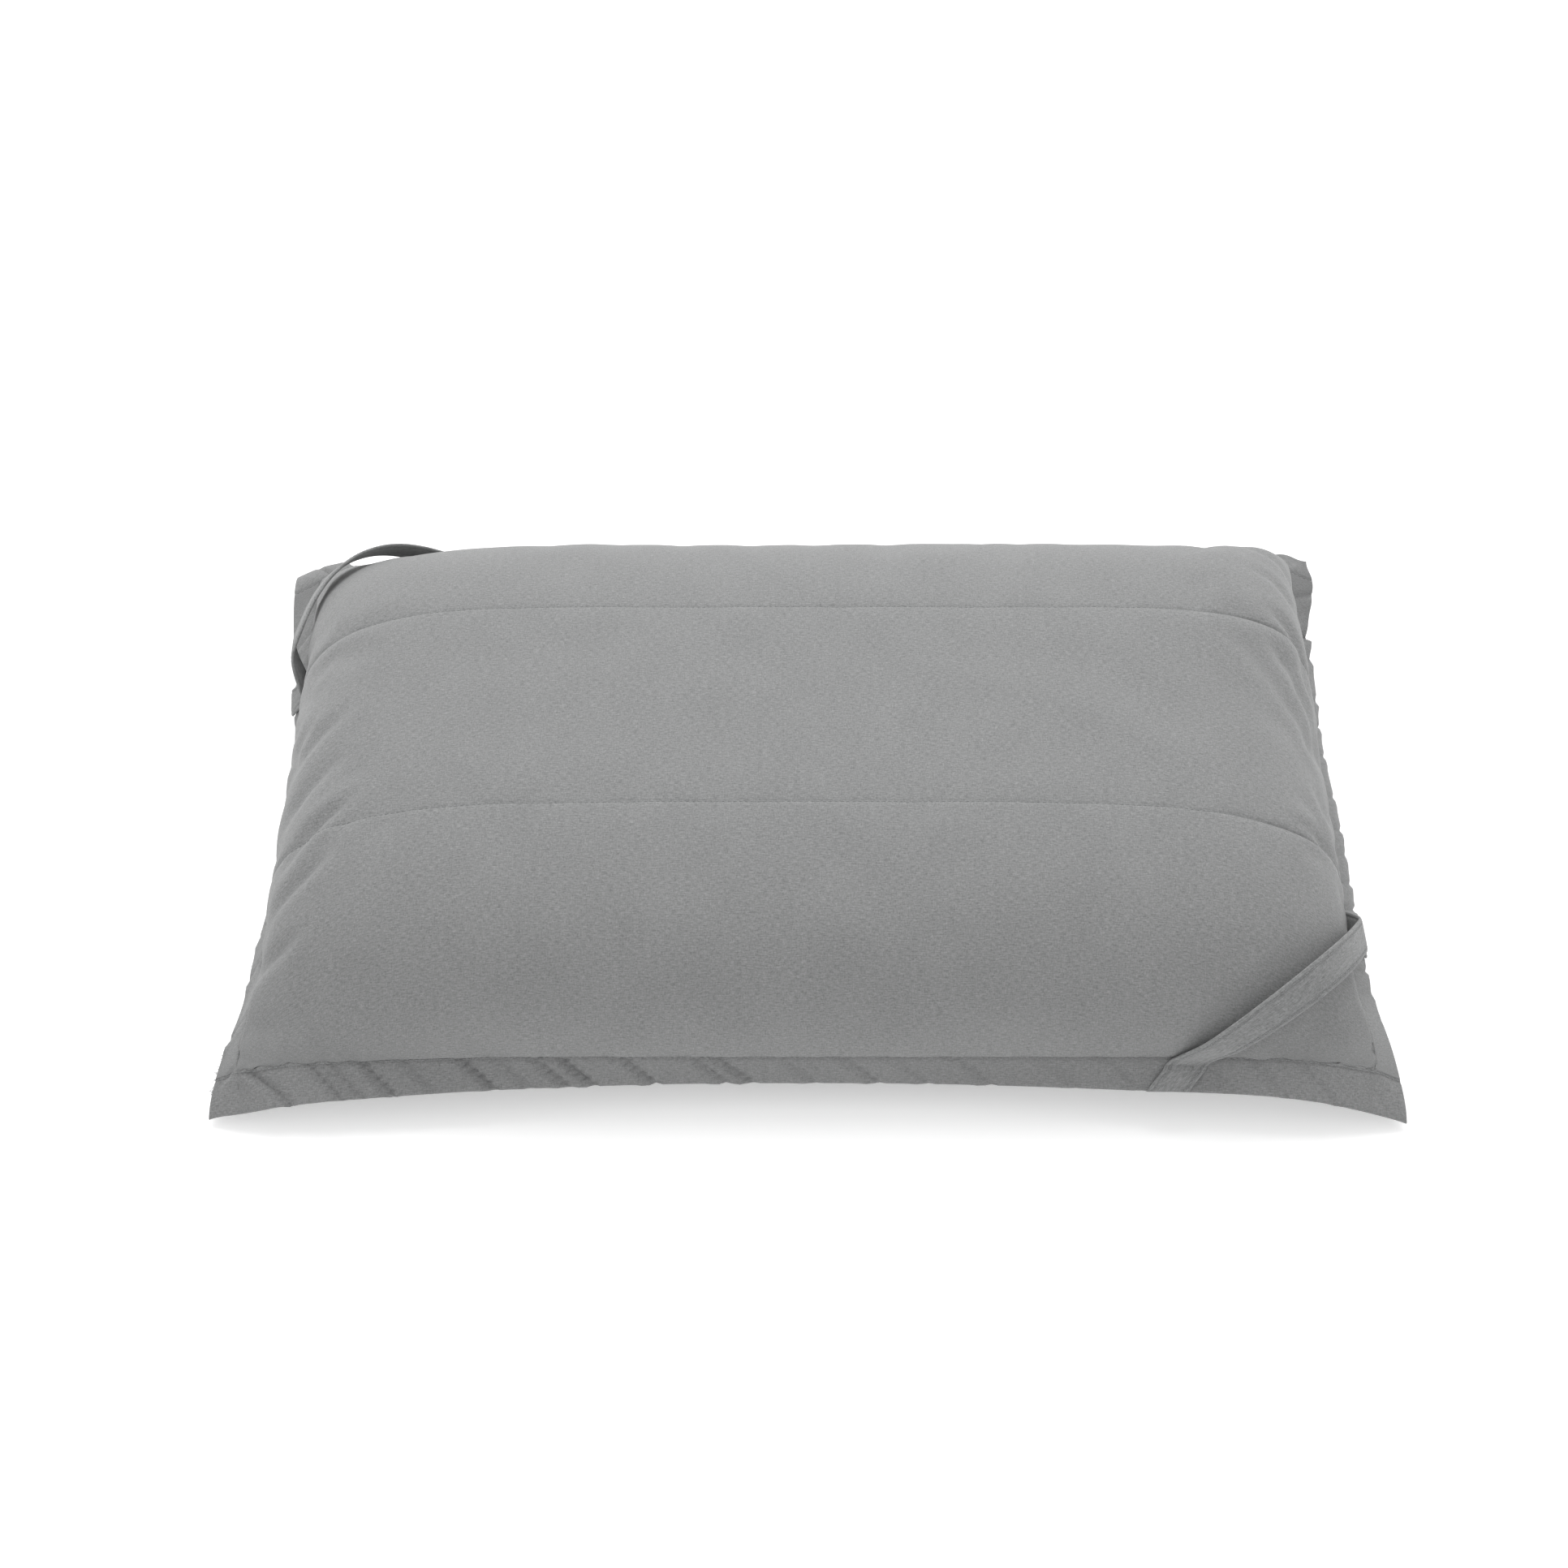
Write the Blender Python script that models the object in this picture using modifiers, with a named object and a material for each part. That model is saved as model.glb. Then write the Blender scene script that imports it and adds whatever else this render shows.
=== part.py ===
"""Kneeling pad: a stuffed fabric cushion with a stitched flange, two quilting lines
and two self-fabric straps across diagonally opposite corners.

X runs along the long side, -Y is the front edge and +Z is up.  The origin is on the
floor under the middle of the pad.  All lengths are in metres.
"""
import math

import bmesh
import bpy
from mathutils import Vector

# ---------------------------------------------------------------- driving dimensions
HALF_LENGTH = 0.300          # half the pad, flange tip to flange tip
HALF_DEPTH = 0.190
FLANGE = 0.019               # stitched border outside the seam
WAIST = 0.002                # how far the short sides pull in between the corners
SEAM_HEIGHT = 0.035          # the seam's height between the corners
SEAM_SQUARENESS = 7          # the seam stays level until close to the corners
FLANGE_STEEP = 0.966         # sine of the flange's slope where it hangs between the corners
FLANGE_SPREAD = 3            # how early the flange flattens out towards the corners
CROWN = 0.081                # stuffed height above the seam
CROWN_POWER_X = 5.5          # boxy along the length
CROWN_POWER_Y = 3.2          # rounder across the depth
CROWN_FULLNESS = 0.45
# Each corner: the height of the flange's tip, the crown's boxiness along the length, how
# far the stuffing stays out of the corner, and how softly the crown runs out there.
FRONT_CORNERS = {"tip": 0.003, "power": CROWN_POWER_X, "slack": 0.50, "soft": 0.45}
REAR_LEFT_CORNER = {"tip": 0.011, "power": 8.0, "slack": 0.35, "soft": 0.0}
REAR_RIGHT_CORNER = {"tip": 0.023, "power": 10.0, "slack": 0.10, "soft": 0.0}
BASE_FLAT_X = 0.225          # half sizes of the flat area that rests on the floor
BASE_FLAT_Y = 0.115
BASE_TURN = 1.5              # how the base curves up from its flat to the seam

CLOTH = 0.0010               # cover fabric
GAP = 0.0003                 # left between pieces that touch
LAYER_GAP = 0.0006           # left between the curved layers inside
WADDING = 0.0040
BACKING = 0.0005
FILL_DEPTH = 0.0075          # top of the loose fill below the cover's inner face
FOAM_HALF = (0.236, 0.126)
FOAM_BOTTOM = 0.0030
FOAM_TOP = 0.0400
FOAM_ROUND = 0.012

THREAD_RADIUS = 0.0005
STITCH_OUTSIDE_SEAM = 0.0030
CLOSING_HALF = 0.085         # half the length of the closing seam

STRAP_THICK = 0.0020
# Corners of the front-right strap's sewn ends.  It leaves the front flange at the seam
# and reaches the free edge of the side flange.
STRAP_OUTER_ENDS = ((0.2040, -0.1750), (0.2875, -0.0990))
STRAP_INNER_ENDS = ((0.1820, -0.1750), (0.2865, -0.0775))
STRAP_END_HEIGHT = 0.0370
STRAP_OUTER_BOW = 0.022      # outward bow of each edge between the ends
STRAP_INNER_BOW = 0.026
STRAP_OUTER_RISE = 0.026     # upward bow of each edge
STRAP_INNER_RISE = 0.040
REAR_SLACK = 0.004           # the rear-left strap stands a little higher off the crown
STRAP_START = 0.03           # the moving loop stops this share short of each sewn end
TAB_WIDTH = 0.020
TAB_THICK = 0.0016
TAB_FRONT_X = 0.178          # middle of the front tab at the flange's free edge
TAB_FRONT_LEAN = 0.011       # how far the tab leans along the edge by the time it folds
TAB_SIDE_Y = -0.088
TAB_CLEARANCE = 0.0009       # room for the cover's flat facets under a tab
TAB_MARGIN = 0.0015          # the tab stops this short of the flange's edge and seam
TAB_CELLS = 4
TACK_ZIGZAGS = 7
TACK_ROWS = (0.58, 0.42)     # the tack zigzags between these shares of the tab's length
TACK_SPREAD = 0.7

SPAN_X = HALF_LENGTH - FLANGE
SPAN_Y = HALF_DEPTH - FLANGE
NEAR = 1e-6                  # a point this close to the seam counts as on it

# Grid cells from seam to seam, closer together towards the steep sides.
CELLS_X = 28
CELLS_Y = 22
QUILT_CELL = 8               # the quilting lines lie on this grid line from each side
WADDING_TRIM = 4             # grid lines left off each side of a layer inside
FILL_TRIM = 4
INNER_STEP = 2               # the layers inside use every second grid line
STRAP_CELLS = 16


# ---------------------------------------------------------------- scene helpers
def clear_scene():
    for obj in list(bpy.data.objects):
        bpy.data.objects.remove(obj, do_unlink=True)


def make_collection(name):
    collection = bpy.data.collections.new(name)
    bpy.context.scene.collection.children.link(collection)
    return collection


def make_material(name, color, roughness):
    material = bpy.data.materials.new(name)
    material.use_nodes = True
    shader = material.node_tree.nodes["Principled BSDF"]
    shader.inputs["Base Color"].default_value = (*color, 1.0)
    shader.inputs["Roughness"].default_value = roughness
    shader.inputs["Metallic"].default_value = 0.0
    return material


def adopt(obj, name, collection, material):
    """Name an object, give it its material and put it in the part's collection."""
    obj.name = name
    obj.data.name = name
    for holder in list(obj.users_collection):
        holder.objects.unlink(obj)
    collection.objects.link(obj)
    obj.data.materials.append(material)
    return obj


# ---------------------------------------------------------------- the pad's surfaces
def stations(half, cells):
    """Grid line positions from seam to seam, crowded towards the seams."""
    return [half * math.sin(math.pi / 2 * (2 * i / cells - 1)) for i in range(cells + 1)]


COLUMNS = stations(SPAN_X, CELLS_X)
ROWS = stations(SPAN_Y, CELLS_Y)


def corner_share(x, y, power):
    """0 along the middle of the sides, rising to 1 at a corner tip."""
    return abs(x / HALF_LENGTH * y / HALF_DEPTH) ** power


def corner_of(x, y):
    """The corner that this quarter of the pad runs into."""
    if y < 0:
        return FRONT_CORNERS
    return REAR_RIGHT_CORNER if x > 0 else REAR_LEFT_CORNER


def join_point(x, y, offset=0.0):
    """A point on the plane where the two covers meet, from its place on the flat pattern.

    Inside the seam that plane is level, and beyond it it is the middle of the hanging
    flange.  Offset moves the point out of the flange's face, or in for a negative one.
    """
    beyond_x = max(abs(x) - SPAN_X, 0.0)
    beyond_y = max(abs(y) - SPAN_Y, 0.0)
    steep = FLANGE_STEEP * (1 - corner_share(x, y, FLANGE_SPREAD))
    level = math.sqrt(1 - steep * steep)
    drop = (SEAM_HEIGHT - corner_of(x, y)["tip"]) * corner_share(x, y, SEAM_SQUARENESS)
    point = Vector((math.copysign(min(abs(x), SPAN_X) + beyond_x * level, x),
                    math.copysign(min(abs(y), SPAN_Y) + beyond_y * level, y),
                    SEAM_HEIGHT - drop - max(beyond_x, beyond_y) * steep))
    point.x -= WAIST * (x / HALF_LENGTH) * (1 - abs(y / HALF_DEPTH) ** 4)
    on_side = abs(x) > SPAN_X - NEAR
    on_end = abs(y) > SPAN_Y - NEAR
    if offset and (on_side or on_end):
        outward = Vector((math.copysign(steep * on_side, x),
                          math.copysign(steep * on_end, y), level))
        point += outward.normalized() * offset
    return point


def dome(x, y):
    """Share of the crown's height, 1 in the middle and 0 at the seam."""
    u = min(abs(x) / SPAN_X, 1.0)
    v = min(abs(y) / SPAN_Y, 1.0)
    corner = corner_of(x, y)
    power = CROWN_POWER_X + (corner["power"] - CROWN_POWER_X) * v * v * (3 - 2 * v)
    fullness = CROWN_FULLNESS + corner["soft"] * (u * v) ** 6
    full = ((1 - u ** power) * (1 - v ** CROWN_POWER_Y)) ** fullness
    return full * (1 - corner["slack"] * (u * v) ** 4)


def top_point(x, y):
    """A point on the inner face of the top cover."""
    point = join_point(x, y, GAP / 2)
    point.z += CROWN * dome(x, y)
    return point


def below_top(x, y, depth):
    """A point under the inner face of the top cover, or over it for a negative depth."""
    step = 0.0005
    along_x = top_point(x + step, y) - top_point(x - step, y)
    along_y = top_point(x, y + step) - top_point(x, y - step)
    return top_point(x, y) - along_x.cross(along_y).normalized() * depth


def base_share(distance, flat, span):
    """1 on the flat of the base, falling to 0 at the seam."""
    return 1 - min(max((abs(distance) - flat) / (span - flat), 0.0), 1.0) ** BASE_TURN


def bottom_point(x, y):
    """A point on the inner face of the bottom cover."""
    point = join_point(x, y, -GAP / 2)
    flat = base_share(x, BASE_FLAT_X, SPAN_X) * base_share(y, BASE_FLAT_Y, SPAN_Y)
    point.z = CLOTH * flat + point.z * (1 - flat)
    return point


# ---------------------------------------------------------------- building blocks
def shaped_grid(columns, rows, place):
    """A grid primitive whose grid lines run through the given columns and rows."""
    last_x = len(columns) - 1
    last_y = len(rows) - 1
    bpy.ops.mesh.primitive_grid_add(x_subdivisions=last_x, y_subdivisions=last_y, size=2)
    obj = bpy.context.object
    for vertex in obj.data.vertices:
        i = round((vertex.co.x + 1) / 2 * last_x)
        j = round((vertex.co.y + 1) / 2 * last_y)
        vertex.co = place(columns[i], rows[j])
    return obj


def thicken(obj, thickness, offset):
    modifier = obj.modifiers.new("cloth", "SOLIDIFY")
    modifier.thickness = thickness
    modifier.offset = offset
    return obj


def soften(obj):
    obj.data.shade_smooth()
    return obj


def thread(name, points, closed, collection, material):
    """A sewn thread: a thin round tube through its points."""
    curve = bpy.data.curves.new(name, "CURVE")
    curve.dimensions = "3D"
    curve.bevel_depth = THREAD_RADIUS
    curve.bevel_resolution = 0 if closed else 1
    curve.use_fill_caps = not closed
    spline = curve.splines.new("POLY")
    spline.points.add(len(points) - 1)
    spline.use_cyclic_u = closed
    for target, point in zip(spline.points, points):
        target.co = (*point, 1.0)
    obj = bpy.data.objects.new(name, curve)
    bpy.context.scene.collection.objects.link(obj)
    return adopt(obj, name, collection, material)


# ---------------------------------------------------------------- covers and layers
def build_covers(collection, fabric, base_fabric):
    columns = [-HALF_LENGTH, *COLUMNS, HALF_LENGTH]
    rows = [-HALF_DEPTH, *ROWS, HALF_DEPTH]
    top = soften(thicken(shaped_grid(columns, rows, top_point), CLOTH, 1))
    adopt(top, "top_cover", collection, fabric)

    bottom = soften(thicken(shaped_grid(columns, rows, bottom_point), CLOTH, -1))
    adopt(bottom, "bottom_cover", collection, base_fabric)


def build_quilted_layers(collection, wadding_white, backing_white):
    """The wadding and its backing cloth, quilted to the top cover from behind."""
    columns = COLUMNS[WADDING_TRIM:-WADDING_TRIM:INNER_STEP]
    rows = ROWS[WADDING_TRIM:-WADDING_TRIM:INNER_STEP]

    wadding = shaped_grid(columns, rows, lambda x, y: below_top(x, y, LAYER_GAP))
    soften(thicken(wadding, WADDING, -1))
    adopt(wadding, "quilted_wadding", collection, wadding_white)

    depth = LAYER_GAP + WADDING + LAYER_GAP
    backing = shaped_grid(columns, rows, lambda x, y: below_top(x, y, depth))
    soften(thicken(backing, BACKING, -1))
    adopt(backing, "quilt_backing_cloth", collection, backing_white)


def build_fill(collection, fibre_white):
    """Loose fibre between the quilted panel and the foam: domed above, flat below."""
    columns = COLUMNS[FILL_TRIM:-FILL_TRIM:INNER_STEP]
    rows = ROWS[FILL_TRIM:-FILL_TRIM:INNER_STEP]
    fill = shaped_grid(columns, rows, lambda x, y: below_top(x, y, FILL_DEPTH))
    mesh = bmesh.new()
    mesh.from_mesh(fill.data)
    extruded = bmesh.ops.extrude_face_region(mesh, geom=mesh.faces[:])
    for item in extruded["geom"]:
        if isinstance(item, bmesh.types.BMVert):
            item.co.z = FOAM_TOP + LAYER_GAP
    bmesh.ops.recalc_face_normals(mesh, faces=mesh.faces[:])
    mesh.to_mesh(fill.data)
    mesh.free()
    adopt(fill, "fibre_fill", collection, fibre_white)


def build_foam(collection, foam_grey):
    bpy.ops.mesh.primitive_cube_add(size=1)
    foam = bpy.context.object
    half_x, half_y = FOAM_HALF
    for vertex in foam.data.vertices:
        vertex.co.x *= 2 * half_x
        vertex.co.y *= 2 * half_y
        vertex.co.z = FOAM_TOP if vertex.co.z > 0 else FOAM_BOTTOM
    modifier = foam.modifiers.new("round", "BEVEL")
    modifier.width = FOAM_ROUND
    modifier.segments = 3
    adopt(foam, "foam_core", collection, foam_grey)


# ---------------------------------------------------------------- stitching
def seam_loop(offset):
    """Points round the flange, a little outside the seam, at an offset from its middle."""
    edge_x = [value * (SPAN_X + STITCH_OUTSIDE_SEAM) / SPAN_X for value in COLUMNS]
    edge_y = [value * (SPAN_Y + STITCH_OUTSIDE_SEAM) / SPAN_Y for value in ROWS]
    plan = [(x, edge_y[0]) for x in edge_x]
    plan += [(edge_x[-1], y) for y in edge_y[1:]]
    plan += [(x, edge_y[-1]) for x in reversed(edge_x[:-1])]
    plan += [(edge_x[0], y) for y in reversed(edge_y[1:-1])]
    return [join_point(x, y, offset) for x, y in plan]


def build_stitching(collection, cotton):
    lift = GAP / 2 + CLOTH + 2 * GAP + THREAD_RADIUS
    thread("flange_needle_thread", seam_loop(lift), True, collection, cotton)
    thread("flange_bobbin_thread", seam_loop(-lift), True, collection, cotton)

    x = -(HALF_LENGTH - FLANGE / 3)
    route = []
    for y in ROWS:
        if abs(y) < CLOSING_HALF:
            route.append(join_point(x, y, lift))
    thread("closing_seam_thread", route, False, collection, cotton)

    over = -(CLOTH + 2 * GAP + THREAD_RADIUS)
    for name, y in (("quilting_thread_front", ROWS[QUILT_CELL]),
                    ("quilting_thread_rear", ROWS[-1 - QUILT_CELL])):
        route = [below_top(x, y, over) for x in COLUMNS[1:-1]]
        thread(name, route, False, collection, cotton)


# ---------------------------------------------------------------- corner straps
class StrapFrame:
    """Directions of one corner strap: the front-right one, or its half-turn copy."""

    def __init__(self, turn, slack):
        self.slack = slack
        self.outer = self.ends(STRAP_OUTER_ENDS, turn)
        self.inner = self.ends(STRAP_INNER_ENDS, turn)
        self.first = self.outer[0]
        self.along = (self.outer[1] - self.outer[0]).normalized()
        self.up = Vector((0, 0, 1))
        self.outward = self.along.cross(self.up)

    @staticmethod
    def ends(plan, turn):
        return [Vector((turn * x, turn * y, STRAP_END_HEIGHT)) for x, y in plan]

    def edge(self, ends, bow, rise, t):
        """A point on one edge of the strap, for t from 0 to 1 along it."""
        arch = math.sin(math.pi * t)
        bow += self.slack / 2
        rise += self.slack
        return (ends[0].lerp(ends[1], t) + self.outward * (bow * arch ** 0.6)
                + self.up * (rise * arch ** 0.8))

    def point(self, t, s):
        """A point of the strap: s runs from 0 at its outer edge to 1 at its inner one."""
        outer = self.edge(self.outer, STRAP_OUTER_BOW, STRAP_OUTER_RISE, t)
        inner = self.edge(self.inner, STRAP_INNER_BOW, STRAP_INNER_RISE, t)
        return outer.lerp(inner, s)

    def face(self, t):
        """Direction out of the strap's upper face."""
        step = 0.01
        along = self.point(t + step, 0.5) - self.point(t - step, 0.5)
        across = self.point(t, 1.0) - self.point(t, 0.0)
        return along.cross(across).normalized()


def build_strap(name, turn, slack, collection, webbing, cotton):
    """The moving loop and its edge stitching, hung from the line through its sewn ends."""
    frame = StrapFrame(turn, slack)
    reach = 1 - 2 * STRAP_START
    ts = [STRAP_START + reach * i / STRAP_CELLS for i in range(STRAP_CELLS + 1)]
    strap = shaped_grid(ts, [0.0, 1.0], lambda t, s: frame.point(t, s) - frame.first)
    soften(thicken(strap, STRAP_THICK, 0))
    adopt(strap, name, collection, webbing)
    strap.location = frame.first

    lift = STRAP_THICK / 2 + 2 * GAP + THREAD_RADIUS
    for edge, s in (("outer", 0.13), ("inner", 0.87)):
        route = [frame.point(t, s) - frame.first + frame.face(t) * lift for t in ts[1:-1]]
        stitch = thread(f"{name}_{edge}_edge_thread", route, False, collection, cotton)
        stitch.location = frame.first


def build_tab(name, place, collection, webbing, cotton):
    """A sewn strap end, flat on the outside of the flange, and the tack that holds it."""
    steps = [i / TAB_CELLS for i in range(TAB_CELLS + 1)]
    rest = GAP / 2 + CLOTH + TAB_CLEARANCE
    tab = shaped_grid(steps, steps, lambda t, w: join_point(*place(t, w - 0.5), rest))
    adopt(thicken(tab, TAB_THICK, -1), name, collection, webbing)

    lift = rest + TAB_THICK + 2 * GAP + THREAD_RADIUS
    route = []
    for i in range(2 * TACK_ZIGZAGS + 1):
        along = TACK_ROWS[i % 2]
        across = TACK_SPREAD * (i / (2 * TACK_ZIGZAGS) - 0.5)
        route.append(join_point(*place(along, across), lift))
    thread(f"{name}_tack_thread", route, False, collection, cotton)


def build_tabs(turn, end_on_long_side, end_on_short_side, collection, webbing, cotton):
    """Both sewn ends of one strap."""
    length = FLANGE - 2 * TAB_MARGIN - STITCH_OUTSIDE_SEAM

    def on_long_side(t, w):
        x = TAB_FRONT_X + TAB_FRONT_LEAN * t + TAB_WIDTH * w
        return turn * x, turn * (-HALF_DEPTH + TAB_MARGIN + length * t)

    def on_short_side(t, w):
        x = HALF_LENGTH - TAB_MARGIN - length * t
        return turn * x, turn * (TAB_SIDE_Y + TAB_WIDTH * w)

    build_tab(end_on_long_side, on_long_side, collection, webbing, cotton)
    build_tab(end_on_short_side, on_short_side, collection, webbing, cotton)


def main():
    clear_scene()
    parts = make_collection("kneeling_pad")
    cover_grey = make_material("cover_grey", (0.27, 0.275, 0.275), 0.95)
    base_grey = make_material("base_grey", (0.20, 0.205, 0.205), 0.95)
    strap_grey = make_material("strap_grey", (0.25, 0.255, 0.255), 0.95)
    wadding_white = make_material("wadding_white", (0.80, 0.80, 0.78), 1.0)
    backing_white = make_material("backing_white", (0.70, 0.70, 0.68), 0.95)
    fibre_white = make_material("fibre_white", (0.85, 0.85, 0.83), 1.0)
    foam_grey = make_material("foam_grey", (0.45, 0.46, 0.46), 0.95)
    thread_grey = make_material("thread_grey", (0.22, 0.225, 0.225), 0.8)

    build_covers(parts, cover_grey, base_grey)
    build_quilted_layers(parts, wadding_white, backing_white)
    build_fill(parts, fibre_white)
    build_foam(parts, foam_grey)
    build_stitching(parts, thread_grey)
    build_strap("front_right_strap", 1, 0.0, parts, strap_grey, thread_grey)
    build_strap("rear_left_strap", -1, REAR_SLACK, parts, strap_grey, thread_grey)
    build_tabs(1, "front_strap_tab", "right_strap_tab", parts, strap_grey, thread_grey)
    build_tabs(-1, "rear_strap_tab", "left_strap_tab", parts, strap_grey, thread_grey)


main()
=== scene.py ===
"""The looks of the kneeling pad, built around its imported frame.

X runs along the long side, -Y is the front edge and +Z is up.  Everything is in metres.
The covers are surfaces over the flat pattern of the pad: a level seam line, a crowned and
quilted top, a base that rests on the floor, and a flange that hangs outside the seam.
"""
import math

import bpy
import numpy as np
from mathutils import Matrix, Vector


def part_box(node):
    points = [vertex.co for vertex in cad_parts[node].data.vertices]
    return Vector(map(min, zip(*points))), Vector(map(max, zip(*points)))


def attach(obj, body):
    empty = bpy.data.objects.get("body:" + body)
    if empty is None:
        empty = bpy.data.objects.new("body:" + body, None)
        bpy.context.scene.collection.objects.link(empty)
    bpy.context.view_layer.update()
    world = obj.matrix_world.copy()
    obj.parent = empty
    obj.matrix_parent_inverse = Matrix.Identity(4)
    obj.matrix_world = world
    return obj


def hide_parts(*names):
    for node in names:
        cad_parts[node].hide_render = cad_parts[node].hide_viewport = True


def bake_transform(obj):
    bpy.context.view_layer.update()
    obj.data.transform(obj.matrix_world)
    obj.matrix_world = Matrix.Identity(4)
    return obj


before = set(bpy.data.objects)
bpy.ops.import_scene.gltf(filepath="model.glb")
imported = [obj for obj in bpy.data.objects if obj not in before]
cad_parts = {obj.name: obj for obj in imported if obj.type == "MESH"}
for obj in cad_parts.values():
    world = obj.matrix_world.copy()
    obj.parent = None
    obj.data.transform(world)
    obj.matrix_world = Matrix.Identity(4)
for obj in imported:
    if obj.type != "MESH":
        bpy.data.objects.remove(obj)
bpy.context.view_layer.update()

# ---- shape, as in the frame
HALF_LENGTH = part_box("bottom_cover")[1].x
HALF_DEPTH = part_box("bottom_cover")[1].y
FLANGE = 0.019
SPAN_X = HALF_LENGTH - FLANGE
SPAN_Y = HALF_DEPTH - FLANGE
WAIST = 0.002
SEAM_HEIGHT = 0.035
SEAM_SQUARENESS = 7
WAIST_SQUARENESS = 4
FLANGE_STEEP = 0.966
FLANGE_SPREAD = 3
CLOTH = 0.0010
GAP = 0.0003
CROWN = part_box("top_cover")[1].z - SEAM_HEIGHT - CLOTH
CROWN_POWER_X = 5.5
CROWN_POWER_Y = 3.2
CROWN_FULLNESS = 0.45
SOFT_REACH = 7               # powers: the higher, the closer to the corner it stays
SLACK_REACH = 4
# Each corner: the height of the flange's tip, the crown's boxiness along the length, how
# far the stuffing stays out of the corner, and how softly the crown runs out there.
FRONT_CORNERS = {"tip": 0.003, "power": CROWN_POWER_X, "slack": 0.42, "soft": 0.90}
REAR_LEFT_CORNER = {"tip": 0.011, "power": 8.0, "slack": 0.35, "soft": 0.0}
REAR_RIGHT_CORNER = {"tip": 0.038, "power": 16.0, "slack": 0.0, "soft": 0.0}
BASE_FLAT_X = 0.225
BASE_FLAT_Y = 0.115
BASE_TURN = 1.5

# ---- cloth grid
CELL = 0.0035                # grid spacing along the cloth
FLANGE_CELLS = 12
FLANGE_RIM = (0.955, 0.985, 1.0)
BY_QUILTING = (-0.0022, -0.0011, 0, 0.0011, 0.0022)
BY_SEAM = (0.0008, 0.0018)
CLOSEST_LINES = 0.0006
QUILT_Y = 0.071              # the quilting lines, on the flat pattern
PROFILE_STEPS = 4001

SEED = 20
rng = np.random.default_rng(SEED)


# ---- the pad's base surface
def smooth(value):
    """0 below 0, 1 above 1 and an easy ramp between them."""
    t = np.clip(value, 0, 1)
    return t * t * (3 - 2 * t)


def spot(x, y, centre, size):
    """A soft round bump of height 1 on the flat pattern."""
    return np.exp(-((x - centre[0]) / size[0]) ** 2 - ((y - centre[1]) / size[1]) ** 2)


def corner_share(x, y, power):
    return np.abs(x / HALF_LENGTH * y / HALF_DEPTH) ** power


def of_corner(x, y, name):
    """A corner's own value, everywhere in its quarter of the pad."""
    rear = np.where(x > 0, REAR_RIGHT_CORNER[name], REAR_LEFT_CORNER[name])
    return np.where(y < 0, FRONT_CORNERS[name], rear)


def join_surface(x, y):
    """The level between the covers inside the seam, and the middle of the hanging flange."""
    beyond_x = np.maximum(np.abs(x) - SPAN_X, 0)
    beyond_y = np.maximum(np.abs(y) - SPAN_Y, 0)
    steep = FLANGE_STEEP * (1 - corner_share(x, y, FLANGE_SPREAD))
    level = np.sqrt(1 - steep * steep)
    drop = (SEAM_HEIGHT - of_corner(x, y, "tip")) * corner_share(x, y, SEAM_SQUARENESS)
    plan_x = np.copysign(np.minimum(np.abs(x), SPAN_X) + beyond_x * level, x)
    plan_y = np.copysign(np.minimum(np.abs(y), SPAN_Y) + beyond_y * level, y)
    plan_x = plan_x - WAIST * (x / HALF_LENGTH) * (1 - np.abs(y / HALF_DEPTH) ** WAIST_SQUARENESS)
    height = SEAM_HEIGHT - drop - np.maximum(beyond_x, beyond_y) * steep
    return np.stack([plan_x, plan_y, height], -1)


def dome(x, y):
    u = np.minimum(np.abs(x) / SPAN_X, 1)
    v = np.minimum(np.abs(y) / SPAN_Y, 1)
    power = CROWN_POWER_X + (of_corner(x, y, "power") - CROWN_POWER_X) * smooth(v)
    fullness = CROWN_FULLNESS + of_corner(x, y, "soft") * (u * v) ** SOFT_REACH
    full = ((1 - u ** power) * (1 - v ** CROWN_POWER_Y)) ** fullness
    return full * (1 - of_corner(x, y, "slack") * (u * v) ** SLACK_REACH)


def top_surface(x, y):
    points = join_surface(x, y)
    points[..., 2] += CROWN * dome(x, y)
    return points


def base_share(distance, flat, span):
    return 1 - np.clip((np.abs(distance) - flat) / (span - flat), 0, 1) ** BASE_TURN


def arc_profile(span, place):
    """Positions from the middle to the seam and the cloth length up to each of them."""
    near_seam = np.sin(np.linspace(0, math.pi / 2, PROFILE_STEPS))
    positions = span * (1 - (1 - near_seam) ** 1.2)
    points = place(positions)
    steps = np.linalg.norm(np.diff(points, axis=0), axis=1)
    return positions, np.concatenate([[0], np.cumsum(steps)])


PROFILE_X = arc_profile(SPAN_X, lambda s: top_surface(s, 0 * s))
PROFILE_Y = arc_profile(SPAN_Y, lambda s: top_surface(0 * s, s))
CLOTH_HALF_X = PROFILE_X[1][-1]
CLOTH_HALF_Y = PROFILE_Y[1][-1]


def cloth_length(position, profile, span):
    """Distance along the cloth from the middle of the pad to a place on the pattern."""
    inside = np.interp(np.minimum(np.abs(position), span), *profile)
    return np.copysign(inside + np.maximum(np.abs(position) - span, 0), position)


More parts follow.
